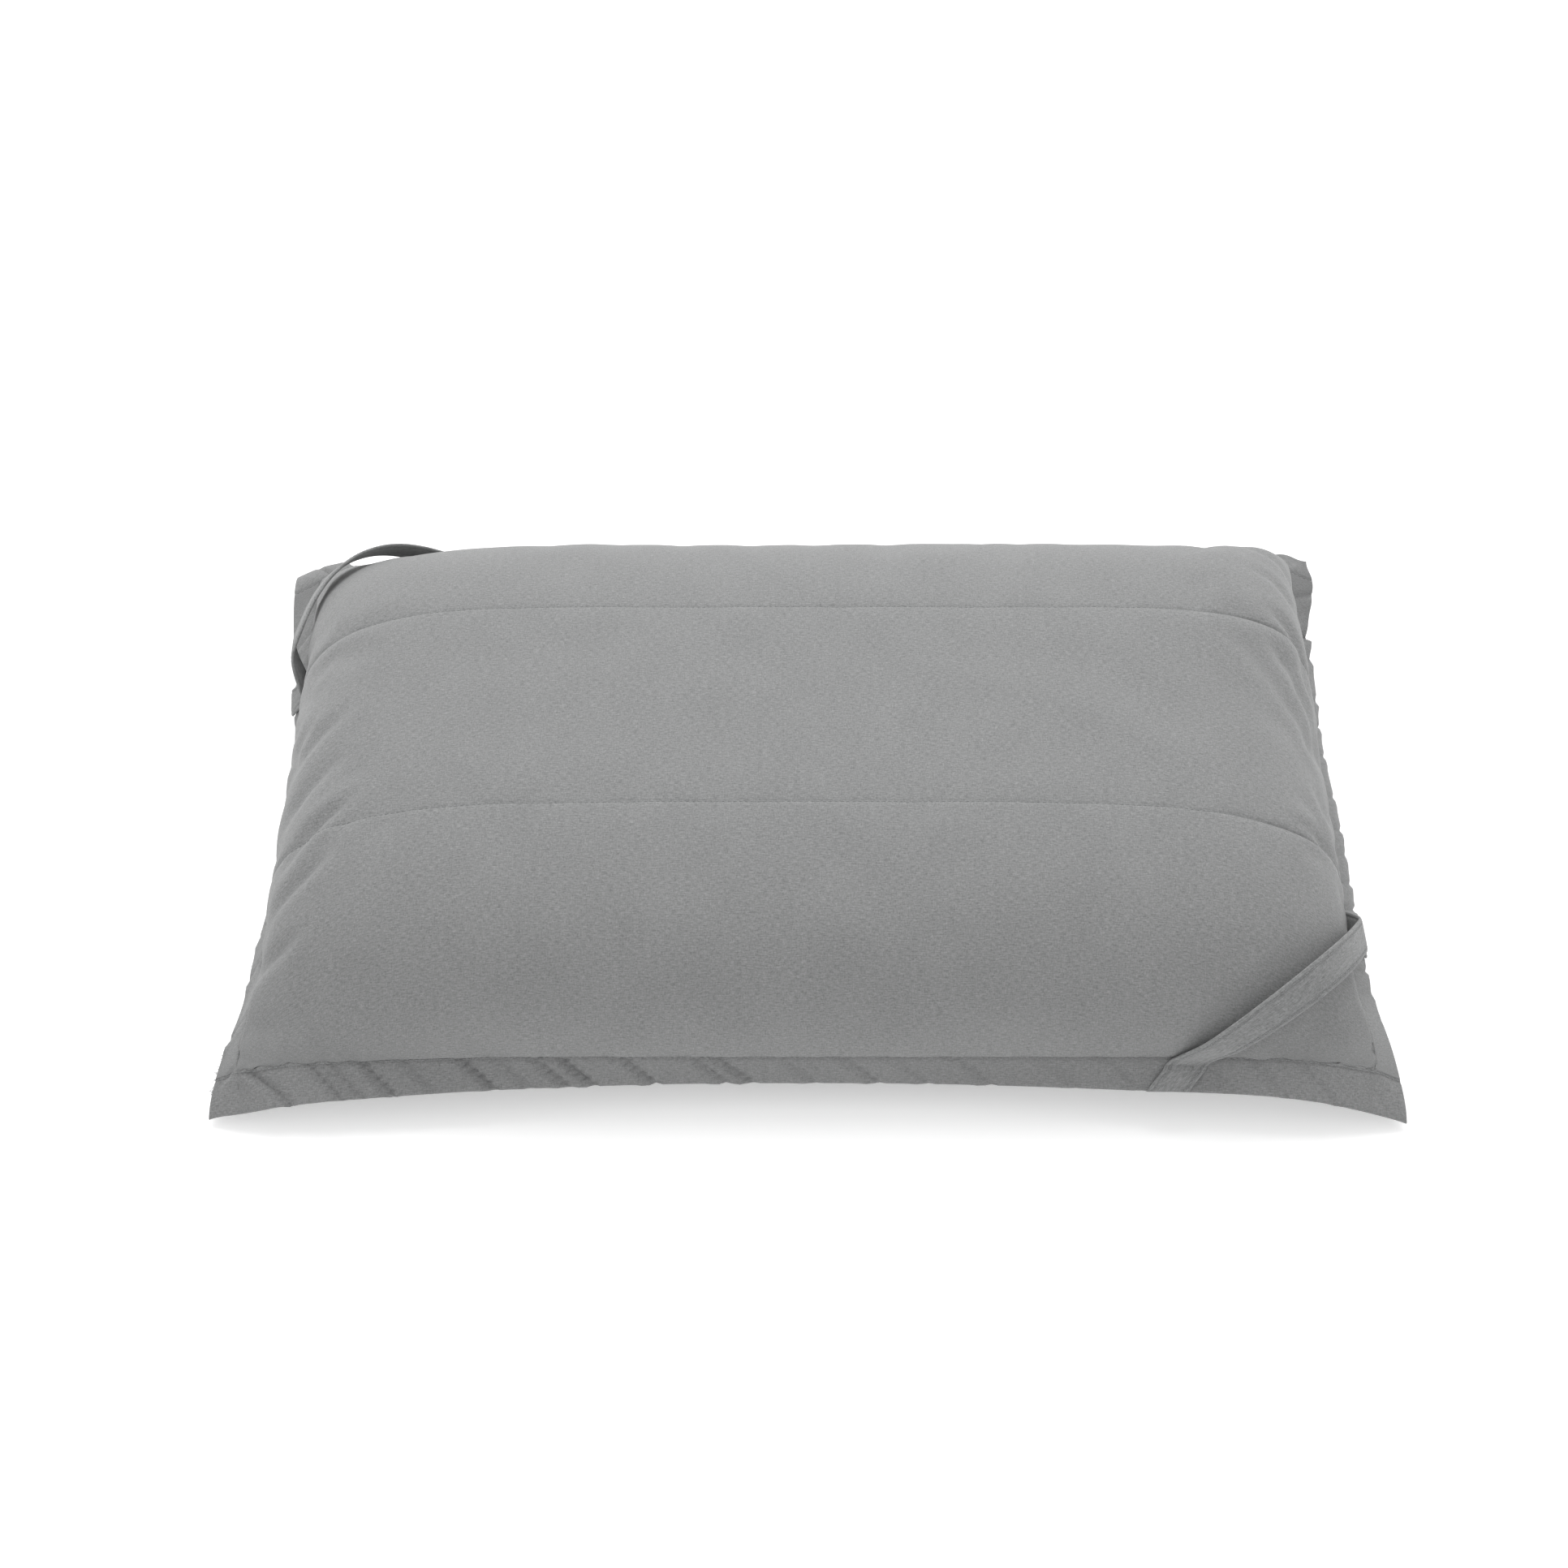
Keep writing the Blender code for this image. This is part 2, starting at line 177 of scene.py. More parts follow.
def cloth_lines(profile, span, extra):
    """Grid line positions: even along the cloth, closer on the flange and by the seams."""
    half = profile[1][-1]
    cells = round(2 * half / CELL)
    lengths = list(np.linspace(-half, half, cells + 1))
    for place in extra:
        lengths += [place + d for d in BY_QUILTING]
    for side in (-half, half):
        lengths += [side - math.copysign(d, side) for d in BY_SEAM]
    lengths = sorted(lengths)
    merged = [lengths[0]]
    for length in lengths[1:]:
        if length - merged[-1] > CLOSEST_LINES:
            merged.append(length)
    merged[-1] = half
    merged = np.array(merged)
    inside = np.copysign(np.interp(np.abs(merged), profile[1], profile[0]), merged)
    border = span + FLANGE * np.array([*np.linspace(0, 0.92, FLANGE_CELLS)[1:], *FLANGE_RIM])
    return np.concatenate([-border[::-1], inside, border])


# ---- listed unevenness
# Where on the pattern, how far it reaches, and which way the pad has settled there.
SETTLED = (
    ((-0.270, 0.085), (0.040, 0.050), (0.0015, 0, 0)),
    ((-0.270, -0.040), (0.040, 0.070), (0.0010, 0, 0)),
    ((0.300, -0.015), (0.012, 0.090), (0.0070, 0, 0.0045)),
    ((-0.300, -0.135), (0.014, 0.030), (0.0040, 0, 0)),
    ((0.300, -0.125), (0.014, 0.030), (-0.0020, 0, 0)),
    ((-0.283, -0.164), (0.014, 0.034), (-0.0070, 0, -0.0030)),
    ((0.283, -0.164), (0.014, 0.030), (0.0070, 0, -0.0030)),
    ((0.000, -0.190), (0.230, 0.010), (0, 0, 0.0018)),
    ((-0.225, -0.185), (0.050, 0.030), (0, 0.0005, -0.0025)),
    ((0.235, -0.185), (0.045, 0.020), (0, 0, 0.0015)),
    ((-0.300, -0.190), (0.016, 0.014), (-0.0015, 0.0020, 0.0005)),
    ((0.300, -0.190), (0.012, 0.016), (0.0025, -0.0005, 0)),
    ((0.300, 0.190), (0.016, 0.016), (-0.0070, -0.0090, -0.0020)),
    ((0.285, 0.182), (0.030, 0.030), (0, 0, 0.0120)),
    ((0.300, 0.142), (0.014, 0.026), (-0.0045, 0, 0)),
    ((-0.300, 0.190), (0.030, 0.030), (0.0030, -0.0060, 0.0140)),
    ((-0.268, 0.188), (0.026, 0.024), (0, 0, 0.0130)),
)

# Pleats pressed into the front flange, on the pattern: place along the edge and depth.
FRONT_PLEATS = (
    (-0.278, 1.0), (-0.252, 0.8), (-0.242, 0.6), (-0.226, 1.0), (-0.205, 0.5), (-0.175, 1.0),
    (-0.157, 0.4), (-0.138, 0.8), (-0.125, 1.1), (-0.094, 0.9), (-0.058, 0.7), (-0.046, 0.9),
    (-0.014, 0.4), (0.018, 0.6), (0.043, 0.4), (0.075, 0.5), (0.118, 0.3), (0.150, 0.4),
    (0.222, 0.4), (0.247, 0.5),
)
PLEAT_DEPTH = 0.0021
PLEAT_VALLEY = 0.0019
PLEAT_RIDGE = 0.0036
PLEAT_RIDGE_AT = 0.0052
PLEAT_RIDGE_SHARE = 0.55
PLEAT_RUN_IN = 0.003
PLEAT_CORNER = 0.010         # pleats fade out this far outside a crossing seam
PLEAT_FADE = 0.012

# Folds in the top: route on the pattern, width, height (a valley is negative).
TOP_FOLDS = (
    (((-0.262, -0.071), (-0.249, -0.063), (-0.234, -0.055)), 0.0036, -0.0023),
    (((-0.276, -0.104), (-0.259, -0.096), (-0.242, -0.086)), 0.0042, -0.0025),
    (((-0.280, -0.126), (-0.267, -0.126), (-0.250, -0.122)), 0.0040, -0.0016),
    (((-0.272, -0.045), (-0.262, -0.036), (-0.248, -0.026)), 0.0045, -0.0015),
    (((-0.270, -0.012), (-0.262, -0.004), (-0.244, 0.008)), 0.0045, -0.0013),
    (((-0.268, -0.086), (-0.255, -0.078), (-0.240, -0.070)), 0.0040, 0.0010),
    (((0.250, -0.064), (0.266, -0.064), (0.278, -0.074)), 0.0035, -0.0020),
    (((0.262, -0.030), (0.268, -0.046), (0.277, -0.060)), 0.0050, 0.0012),
    (((0.252, 0.085), (0.266, 0.078), (0.275, 0.066)), 0.0036, -0.0020),
    (((0.255, 0.060), (0.266, 0.046), (0.274, 0.026)), 0.0050, -0.0012),
    (((0.257, 0.028), (0.268, 0.008), (0.276, -0.014)), 0.0050, -0.0010),
    (((0.245, 0.118), (0.262, 0.112), (0.274, 0.100)), 0.0040, -0.0014),
    (((0.248, 0.148), (0.262, 0.144), (0.276, 0.134)), 0.0045, -0.0016),
    (((0.228, 0.166), (0.250, 0.160), (0.270, 0.162)), 0.0050, -0.0016),
    (((0.029, 0.030), (0.119, 0.007), (0.172, -0.021), (0.212, -0.054)), 0.0140, 0.0009),
    (((-0.205, 0.035), (-0.120, 0.044), (-0.040, 0.036)), 0.0150, -0.0006),
    (((-0.120, -0.105), (-0.030, -0.116), (0.080, -0.108)), 0.0200, -0.0008),
)


def settle(points, x, y):
    for centre, size, move in SETTLED:
        points += spot(x, y, centre, size)[..., None] * np.array(move)
    return points


def surface_normals(points):
    """Unit normals of a grid of points, out of the pad's top."""
    across = np.gradient(points, axis=0)
    deep = np.gradient(points, axis=1)
    normals = np.cross(across, deep)
    return normals / np.linalg.norm(normals, axis=-1, keepdims=True)


def pleat_places(low, high, spacing):
    """Unevenly spaced pleats between two ends of an edge."""
    places = []
    at = low + rng.uniform(0, spacing)
    while at < high:
        places.append((at, rng.uniform(0.4, 1.0)))
        at += spacing * rng.uniform(0.6, 1.5)
    return places


def pleats(along, out, places, slant):
    """Height of slanting pleats: narrow valleys with a softer ridge beside each.

    The second value is how deep in a valley each place is, used for the painted shade in the valleys.
    """
    height = 0 * along
    painted_shade = 0 * along
    for place, depth in places:
        offset = along - place - slant * out
        valley = np.exp(-(offset / PLEAT_VALLEY) ** 2)
        ridge = np.exp(-((offset + PLEAT_RIDGE_AT) / PLEAT_RIDGE) ** 2)
        height += depth * (PLEAT_RIDGE_SHARE * ridge - valley)
        painted_shade += depth * valley
    rising = smooth(out / PLEAT_RUN_IN)
    return PLEAT_DEPTH * height * rising, painted_shade * rising


def flange_relief(x, y):
    """Height of the pleats all round the flange and the painted shade of their valleys, fading out at
    the corners.
    """
    out_x = np.abs(x) - SPAN_X
    out_y = np.abs(y) - SPAN_Y
    keep_y = smooth((PLEAT_CORNER - out_x) / PLEAT_FADE)
    keep_x = smooth((PLEAT_CORNER - out_y) / PLEAT_FADE)
    sides = (((y < 0) * keep_y, pleats(x, out_y, FRONT_PLEATS, 1.0)),
             ((y > 0) * keep_y, pleats(x, out_y, REAR_PLEATS, -0.8)),
             ((x > 0) * keep_x * smooth((y + 0.150) / 0.05), pleats(y, out_x, RIGHT_PLEATS, 0.5)),
             ((x < 0) * keep_x, pleats(y, out_x, LEFT_PLEATS, -0.6)))
    height = sum(keep * pleat[0] for keep, pleat in sides)
    painted_shade = sum(keep * pleat[1] for keep, pleat in sides)
    return height, painted_shade


REAR_PLEATS = pleat_places(-0.28, 0.28, 0.030)
RIGHT_PLEATS = pleat_places(-0.17, 0.17, 0.022)
RIGHT_PLEATS.append((0.128, 2.2))        # the deep notch behind the right end's middle
LEFT_PLEATS = pleat_places(-0.17, 0.17, 0.026)


def ripples(a, b, wavelength, waves=9):
    """Soft random unevenness of about unit height."""
    height = 0 * a
    for _ in range(waves):
        angle = rng.uniform(0, 2 * math.pi)
        pitch = wavelength * rng.uniform(0.7, 1.5)
        phase = rng.uniform(0, 2 * math.pi)
        height += np.sin(2 * math.pi * (a * math.cos(angle) + b * math.sin(angle)) / pitch + phase)
    return height / math.sqrt(waves)


def distance_to_route(points, route):
    """Distance of each point to a route through space, and how far along it that is."""
    best = np.full(points.shape[:-1], 1e9)
    share = np.zeros(points.shape[:-1])
    spans = len(route) - 1
    for i in range(spans):
        start, run = route[i], route[i + 1] - route[i]
        t = np.clip(((points - start) @ run) / (run @ run), 0, 1)
        distance = np.linalg.norm(points - (start + t[..., None] * run), axis=-1)
        nearer = distance < best
        best = np.where(nearer, distance, best)
        share = np.where(nearer, (i + t) / spans, share)
    return best, share


def fold_relief(points, folds, surface):
    height = np.zeros(points.shape[:-1])
    for pattern, width, depth in folds:
        pattern = np.array(pattern)
        route = surface(pattern[:, 0], pattern[:, 1])
        distance, share = distance_to_route(points, route)
        ends = smooth(share / 0.3) * smooth((1 - share) / 0.3)
        fold = np.exp(-(distance / width) ** 2)
        shoulder = np.exp(-((distance - 2 * width) / (1.4 * width)) ** 2)
        height += depth * (0.25 + 0.75 * ends) * (fold - 0.35 * shoulder)
    return height


# ---- stuffing, by cloth simulation
CLOTH_STEP = 2               # the simulated cloth uses every second grid line
CLOTH_FRAMES = 20
CLOTH_PRESSURE = 4.0
CLOTH_EASE = 0.03            # the panel is cut this much larger than the shape it covers
RELIEF_BROAD = 5             # passes of smoothing that leave only the broad swelling
RELIEF_CAP = 0.0030
RELIEF_MIDDLE = 0.22         # share of the relief that the taut middle keeps


def every_second(first, last, wanted):
    """Grid line numbers from first to last, with some that have to be among them."""
    picked = set(range(first, last, CLOTH_STEP)) | {last}
    for number in wanted:
        picked -= {number - 1, number + 1}
        picked.add(number)
    return sorted(picked | {first, last})


def soften(values, passes):
    """Average a grid with its neighbours, again and again."""
    for _ in range(passes):
        for axis in (0, 1):
            ends = [(1, 1) if k == axis else (0, 0) for k in (0, 1)]
            wide = np.moveaxis(np.pad(values, ends, mode="edge"), axis, 0)
            values = np.moveaxis((wide[:-2] + 2 * wide[1:-1] + wide[2:]) / 4, 0, axis)
    return values


def simulate_panel(points, held):
    """Blow up a panel of cloth that is sewn down at the held points."""
    columns, rows = points.shape[:2]
    mesh = bpy.data.meshes.new("panel")
    mesh.from_pydata(points.reshape(-1, 3).tolist(), [], grid_quads(columns, rows))
    panel = bpy.data.objects.new("panel", mesh)
    bpy.context.scene.collection.objects.link(panel)
    group = panel.vertex_groups.new(name="held")
    group.add(np.flatnonzero(held).tolist(), 1.0, "REPLACE")

    cloth = panel.modifiers.new("cloth", "CLOTH")
    settings = cloth.settings
    settings.quality = 5
    settings.mass = 0.3
    settings.tension_stiffness = 15
    settings.compression_stiffness = 15
    settings.shear_stiffness = 5
    settings.bending_stiffness = 0.3
    settings.vertex_group_mass = "held"
    settings.shrink_min = -CLOTH_EASE
    settings.use_pressure = True
    settings.uniform_pressure_force = CLOTH_PRESSURE
    settings.effector_weights.gravity = 0
    cloth.collision_settings.use_collision = False
    cloth.point_cache.frame_end = CLOTH_FRAMES
    for frame_number in range(1, CLOTH_FRAMES + 1):
        bpy.context.scene.frame_set(frame_number)
    stuffed = panel.evaluated_get(bpy.context.evaluated_depsgraph_get())
    result = np.empty(columns * rows * 3, np.float32)
    stuffed.data.vertices.foreach_get("co", result)
    bpy.data.objects.remove(panel)
    bpy.context.scene.frame_set(1)
    return result.reshape(points.shape).astype(float)


def stuffing_relief(points, on_flange, quilted_rows):
    """Puckers and wrinkles of the stuffed cover, along its normals, without its swelling."""
    columns = np.flatnonzero(~on_flange.all(axis=1))
    rows = np.flatnonzero(~on_flange.all(axis=0))
    i = every_second(columns[0] - 1, columns[-1] + 1, ())
    j = every_second(rows[0] - 1, rows[-1] + 1, quilted_rows)
    panel = points[np.ix_(i, j)]
    held = on_flange[np.ix_(i, j)] | np.isin(j, quilted_rows)[None, :]
    swollen = simulate_panel(panel, held.ravel())
    relief = ((swollen - panel) * surface_normals(panel)).sum(-1)
    relief = np.clip(relief - soften(relief, RELIEF_BROAD), -RELIEF_CAP, RELIEF_CAP)
    across = np.stack([np.interp(np.arange(len(points)), i, line) for line in relief.T], 1)
    fine = np.stack([np.interp(np.arange(points.shape[1]), j, line) for line in across])
    return soften(fine, 1)


# ---- the sewn grid
GROOVE_AT = 0.0010           # the stitched groove, outside the seam
GROOVE_WIDTH = 0.0009
GROOVE_DEPTH = 0.0005
PLAIN_SIDE = (-0.100, 0.035)     # the ends' seam can't be seen in front of here; its fade
SEAM_ROLL = 0.0010
SEAM_ROLL_START = 0.004
SEAM_ROLL_REACH = 0.030
QUILT_PULL = ((0.0005, 0.0010), (0.0004, 0.008))     # depth and width, at the stitches and round them
QUILT_FADE = (-0.270, 0.10)
GATHER_HEIGHT = 0.00028
GATHER_REACH = 0.014
BROAD_RIPPLE = (0.0003, 0.110)       # height and wavelength
FINE_RIPPLE = (0.00012, 0.042)


def quilt_length():
    return float(cloth_length(QUILT_Y, PROFILE_Y, SPAN_Y))


class Pad:
    """Every surface of the pad on one shared grid."""

    def __init__(self):
        quilt = quilt_length()
        lines_x = cloth_lines(PROFILE_X, SPAN_X, ())
        lines_y = cloth_lines(PROFILE_Y, SPAN_Y, (-quilt, quilt))
        self.x, self.y = np.meshgrid(lines_x, lines_y, indexing="ij")
        self.cloth = np.stack([cloth_length(self.x, PROFILE_X, SPAN_X),
                               cloth_length(self.y, PROFILE_Y, SPAN_Y), 0 * self.x], -1)
        out_x = np.abs(self.cloth[..., 0]) - CLOTH_HALF_X
        out_y = np.abs(self.cloth[..., 1]) - CLOTH_HALF_Y
        self.out = np.maximum(out_x, out_y)
        self.on_flange = self.out > -1e-9

        middle = settle(join_surface(self.x, self.y), self.x, self.y)
        normals = surface_normals(middle)
        relief, painted_shade = flange_relief(self.x, self.y)
        plain_side = smooth((PLAIN_SIDE[0] - self.y) / PLAIN_SIDE[1])
        across_end = np.exp(-((out_y - GROOVE_AT) / GROOVE_WIDTH) ** 2)
        down_side = np.exp(-((out_x - GROOVE_AT) / GROOVE_WIDTH) ** 2)
        down_side = down_side * (out_y < 0) * (1 - plain_side)
        seam = np.maximum(across_end, down_side)
        groove = GROOVE_DEPTH * seam
        # Painted shade: the colour is darkened along the seam groove, in the pleat valleys and over
        # the hanging flange.
        shaded = np.maximum(out_y > 0, (out_x > 0) * (1 - plain_side))
        self.painted_shade = np.clip(0.8 * seam + 0.5 * painted_shade * self.on_flange + 0.25 * shaded, 0, 1)
        middle = middle + normals * (relief * self.on_flange)[..., None]
        self.middle = middle
        self.groove = groove
        self.top = self.crowned(middle)
        self.bottom = self.based(middle)
        self.top_normals = surface_normals(self.top)
        self.bottom_normals = -surface_normals(self.bottom)

    def crowned(self, middle):
        points = middle.copy()
        points[..., 2] += CROWN * dome(self.x, self.y)
        normals = surface_normals(points)
        inside = np.clip(-self.out, 0, None)
        corner = smooth((corner_share(self.x, self.y, 1) - 0.45) / 0.35)
        above_seam = SEAM_ROLL * (1 - np.exp(-inside / SEAM_ROLL_START))
        above_seam = above_seam * np.exp(-inside / SEAM_ROLL_REACH) * (1 - corner)
        height = above_seam + self.quilting(inside)
        height += fold_relief(points, TOP_FOLDS, top_surface)
        height += self.gathers(inside)
        a, b = self.cloth[..., 0], self.cloth[..., 1]
        stuffed = smooth(inside / 0.03)
        height += stuffed * (BROAD_RIPPLE[0] * ripples(a, b, BROAD_RIPPLE[1])
                             + FINE_RIPPLE[0] * ripples(a, b, FINE_RIPPLE[1]))
        points = points + normals * (height * (inside > 0))[..., None]
        relief = stuffing_relief(points, self.on_flange, self.quilted_rows())
        taut = RELIEF_MIDDLE + (1 - RELIEF_MIDDLE) * smooth((np.abs(self.x) - 0.19) / 0.07)
        relief = relief * taut
        return points + normals * (relief * (inside > 0))[..., None]

    def quilted_rows(self):
        return [int(np.argmin(np.abs(self.y[0] - place))) for place in (-QUILT_Y, QUILT_Y)]

    def quilting(self, inside):
        """The pull of the two quilting lines, weaker where the left ends fade out."""
        off = np.minimum(np.abs(self.cloth[..., 1] - quilt_length()),
                         np.abs(self.cloth[..., 1] + quilt_length()))
        pull = sum(depth * np.exp(-(off / width) ** 2) for depth, width in QUILT_PULL)
        fade = 0.25 + 0.75 * smooth((self.x - QUILT_FADE[0]) / QUILT_FADE[1])
        return -pull * fade * smooth(inside / 0.010)

    def gathers(self, inside):
        """Short soft gathers that rise from the seam."""
        along = np.where(np.abs(self.cloth[..., 0]) - CLOTH_HALF_X
                         > np.abs(self.cloth[..., 1]) - CLOTH_HALF_Y,
                         self.cloth[..., 1], self.cloth[..., 0])
        waves = np.sin(along / 0.0043 + 3 * np.sin(along / 0.019)) + np.sin(along / 0.0071 + 1.3)
        return GATHER_HEIGHT * waves * np.exp(-inside / GATHER_REACH) * smooth(inside / 0.002)

    def based(self, middle):
        points = middle.copy()
        flat = (base_share(self.x, BASE_FLAT_X, SPAN_X) * base_share(self.y, BASE_FLAT_Y, SPAN_Y))
        points[..., 2] = CLOTH * flat + points[..., 2] * (1 - flat)
        return points

    def sides(self, top):
        """Outer and inner face of the top or bottom cover."""
        surface = self.top if top else self.bottom
        normals = self.top_normals if top else self.bottom_normals
        to_edge = FLANGE - np.clip(self.out, 0, None)
        rounded = np.sqrt(1 - (1 - np.clip(to_edge / CLOTH, 0, 1)) ** 2)
        thick = CLOTH * (0.12 + 0.88 * rounded)
        outer = surface + normals * (GAP / 2 + thick - self.groove)[..., None]
        inner = surface + normals * (GAP / 2)
        if not top:
            outer[..., 2] = np.maximum(outer[..., 2], 0)
            inner[..., 2] = np.maximum(inner[..., 2], 0.6 * CLOTH)
        return outer, inner


# ---- mesh building
def mesh_object(name, points, faces, material, cloth=None, painted_shade=None):
    mesh = bpy.data.meshes.new(name)
    mesh.from_pydata(points.reshape(-1, 3).tolist(), [], faces)
    mesh.validate()
    if cloth is not None:
        # The cloth place for the weave, and the painted shade of creases and seams.
        for key, kind, field, values in (("cloth", "FLOAT_VECTOR", "vector", cloth),
                                         ("painted_shade", "FLOAT", "value", painted_shade)):
            attribute = mesh.attributes.new(key, kind, "POINT")
            attribute.data.foreach_set(field, values.astype(np.float32).ravel())
    mesh.shade_smooth()
    mesh.materials.append(material)
    obj = bpy.data.objects.new(name, mesh)
    bpy.context.scene.collection.objects.link(obj)
    return obj


def grid_quads(columns, rows, first=0, flip=False):
    i, j = np.meshgrid(np.arange(columns - 1), np.arange(rows - 1), indexing="ij")
    a = first + i * rows + j
    quads = np.stack([a, a + rows, a + rows + 1, a + 1], -1).reshape(-1, 4)
    return (quads[:, ::-1] if flip else quads).tolist()


def rim_quads(columns, rows, gap):
    """Quads that join the edges of two grids, the second one's points gap places later."""
    edge = [i * rows for i in range(columns)]
    edge += [(columns - 1) * rows + j for j in range(1, rows)]
    edge += [i * rows + rows - 1 for i in range(columns - 2, -1, -1)]
    edge += list(range(rows - 2, 0, -1))
    following = edge[1:] + edge[:1]
    return [[a, a + gap, b + gap, b] for a, b in zip(edge, following)]


def shell(name, outer, inner, cloth, painted_shade, material, upward):
    """A closed shell between two grids of points, with its place on the cloth and the painted shade
    of its creases.
    """
    columns, rows = outer.shape[:2]
    count = columns * rows
    faces = grid_quads(columns, rows, 0, not upward)
    faces += grid_quads(columns, rows, count, upward)
    rim = rim_quads(columns, rows, count)
    faces += rim if upward else [face[::-1] for face in rim]
    points = np.concatenate([outer.reshape(-1, 3), inner.reshape(-1, 3)])
    both = np.concatenate([cloth.reshape(-1, 3)] * 2)
    painted_shade_values = np.concatenate([np.broadcast_to(painted_shade, outer.shape[:2]).ravel()] * 2)
    return mesh_object(name, points, faces, material, both, painted_shade_values)


def tubes(name, centres, sideways, upward, radii, material, sides=6):
    """Closed tubes in one mesh: arrays of tubes by rings by 3, radii by tubes by rings."""
    count, rings = centres.shape[:2]
    angles = np.arange(sides) * 2 * math.pi / sides
    circle = (sideways[:, :, None] * np.cos(angles)[:, None]
              + upward[:, :, None] * np.sin(angles)[:, None])
    points = centres[:, :, None] + circle * radii[:, :, None, None]
    faces = []
    for tube in range(count):
        first = tube * rings * sides
        for ring in range(rings - 1):
            for k in range(sides):
                a = first + ring * sides + k
                b = first + ring * sides + (k + 1) % sides
                faces.append([a, b, b + sides, a + sides])
        faces.append(list(range(first, first + sides))[::-1])
        last = first + (rings - 1) * sides
        faces.append(list(range(last, last + sides)))
    return mesh_object(name, points, faces, material)


STITCH_RADIUS = 0.00028
STITCH_RINGS = 7


def stitch_line(name, route, normals, pitch, material, radius=STITCH_RADIUS):
    """A row of stitches: short lengths of thread that rise out of the cloth and dive back."""
    steps = np.linalg.norm(np.diff(route, axis=0), axis=1)
    lengths = np.concatenate([[0], np.cumsum(steps)])
    count = max(int(lengths[-1] / pitch), 1)
    pitch = lengths[-1] / count
    t = np.linspace(0, 1, STITCH_RINGS)
    at = (np.arange(count)[:, None] + 0.06 + 0.88 * t) * pitch

    def sample(values):
        return np.stack([np.interp(at, lengths, values[:, k]) for k in range(3)], -1)

    centre = sample(route)
    up = sample(normals)
    up /= np.linalg.norm(up, axis=-1, keepdims=True)
    arch = np.sin(math.pi * t) ** 0.7
    centre = centre + up * (arch * 1.1 * radius - 0.7 * radius)[None, :, None]
    forward = np.gradient(centre, axis=1)
    forward /= np.linalg.norm(forward, axis=-1, keepdims=True)
    side = np.cross(up, forward)
    side /= np.linalg.norm(side, axis=-1, keepdims=True)
    radii = np.broadcast_to(radius * (0.45 + 0.55 * arch), (count, STITCH_RINGS))
    return tubes(name, centre, side, np.cross(forward, side), radii, material)


# ---- materials
class Nodes:
    """A small helper that adds and links shader nodes."""

    def __init__(self, name):
        self.material = bpy.data.materials.new(name)
        self.material.use_nodes = True
        self.tree = self.material.node_tree
        self.shader = self.tree.nodes["Principled BSDF"]

    def add(self, kind, **values):
        node = self.tree.nodes.new("ShaderNode" + kind)
        for key, value in values.items():
            setattr(node, key, value)
        return node

    def link(self, output, node, key):
        self.tree.links.new(output, node.inputs[key])

    def math(self, operation, a, b=0.0):
        node = self.add("Math", operation=operation)
        for index, value in enumerate((a, b)):
            if isinstance(value, (int, float)):
                node.inputs[index].default_value = value
            else:
                self.link(value, node, index)
        return node.outputs[0]

    def scaled(self, vector, scale):
        node = self.add("VectorMath", operation="MULTIPLY")
        self.link(vector, node, 0)
        node.inputs[1].default_value = scale
        return node.outputs[0]

    def noise(self, vector, scale, detail=2.0, rough=0.5):
        node = self.add("TexNoise")
        self.link(vector, node, "Vector")
        node.inputs["Scale"].default_value = scale
        node.inputs["Detail"].default_value = detail
        node.inputs["Roughness"].default_value = rough
        return node.outputs["Fac"]

    def bump(self, height, strength, distance):
        node = self.add("Bump")
        node.inputs["Strength"].default_value = strength
        node.inputs["Distance"].default_value = distance
        self.link(height, node, "Height")
        self.link(node.outputs["Normal"], self.shader, "Normal")

    def ramp(self, value, stops):
        node = self.add("ValToRGB")
        self.link(value, node, "Fac")
        elements = node.color_ramp.elements
        while len(elements) < len(stops):
            elements.new(0.5)
        for element, (place, color) in zip(elements, stops):
            element.position = place
            element.color = (*color, 1.0)
        return node.outputs["Color"]


WEAVE_PITCH = 0.00050        # one yarn of the cloth
HEATHER_LENGTH = 0.0032      # how long a lighter or darker stretch of yarn is
SPECK = 0.0008
CLOUD = 0.030
# painted shade: how much darker the colour is painted in creases, seams and flanges
CREASE_PAINTED_SHADE = 0.30
WEAVE_DEPTH = 0.00022
THREAD_GRAIN = 0.0006


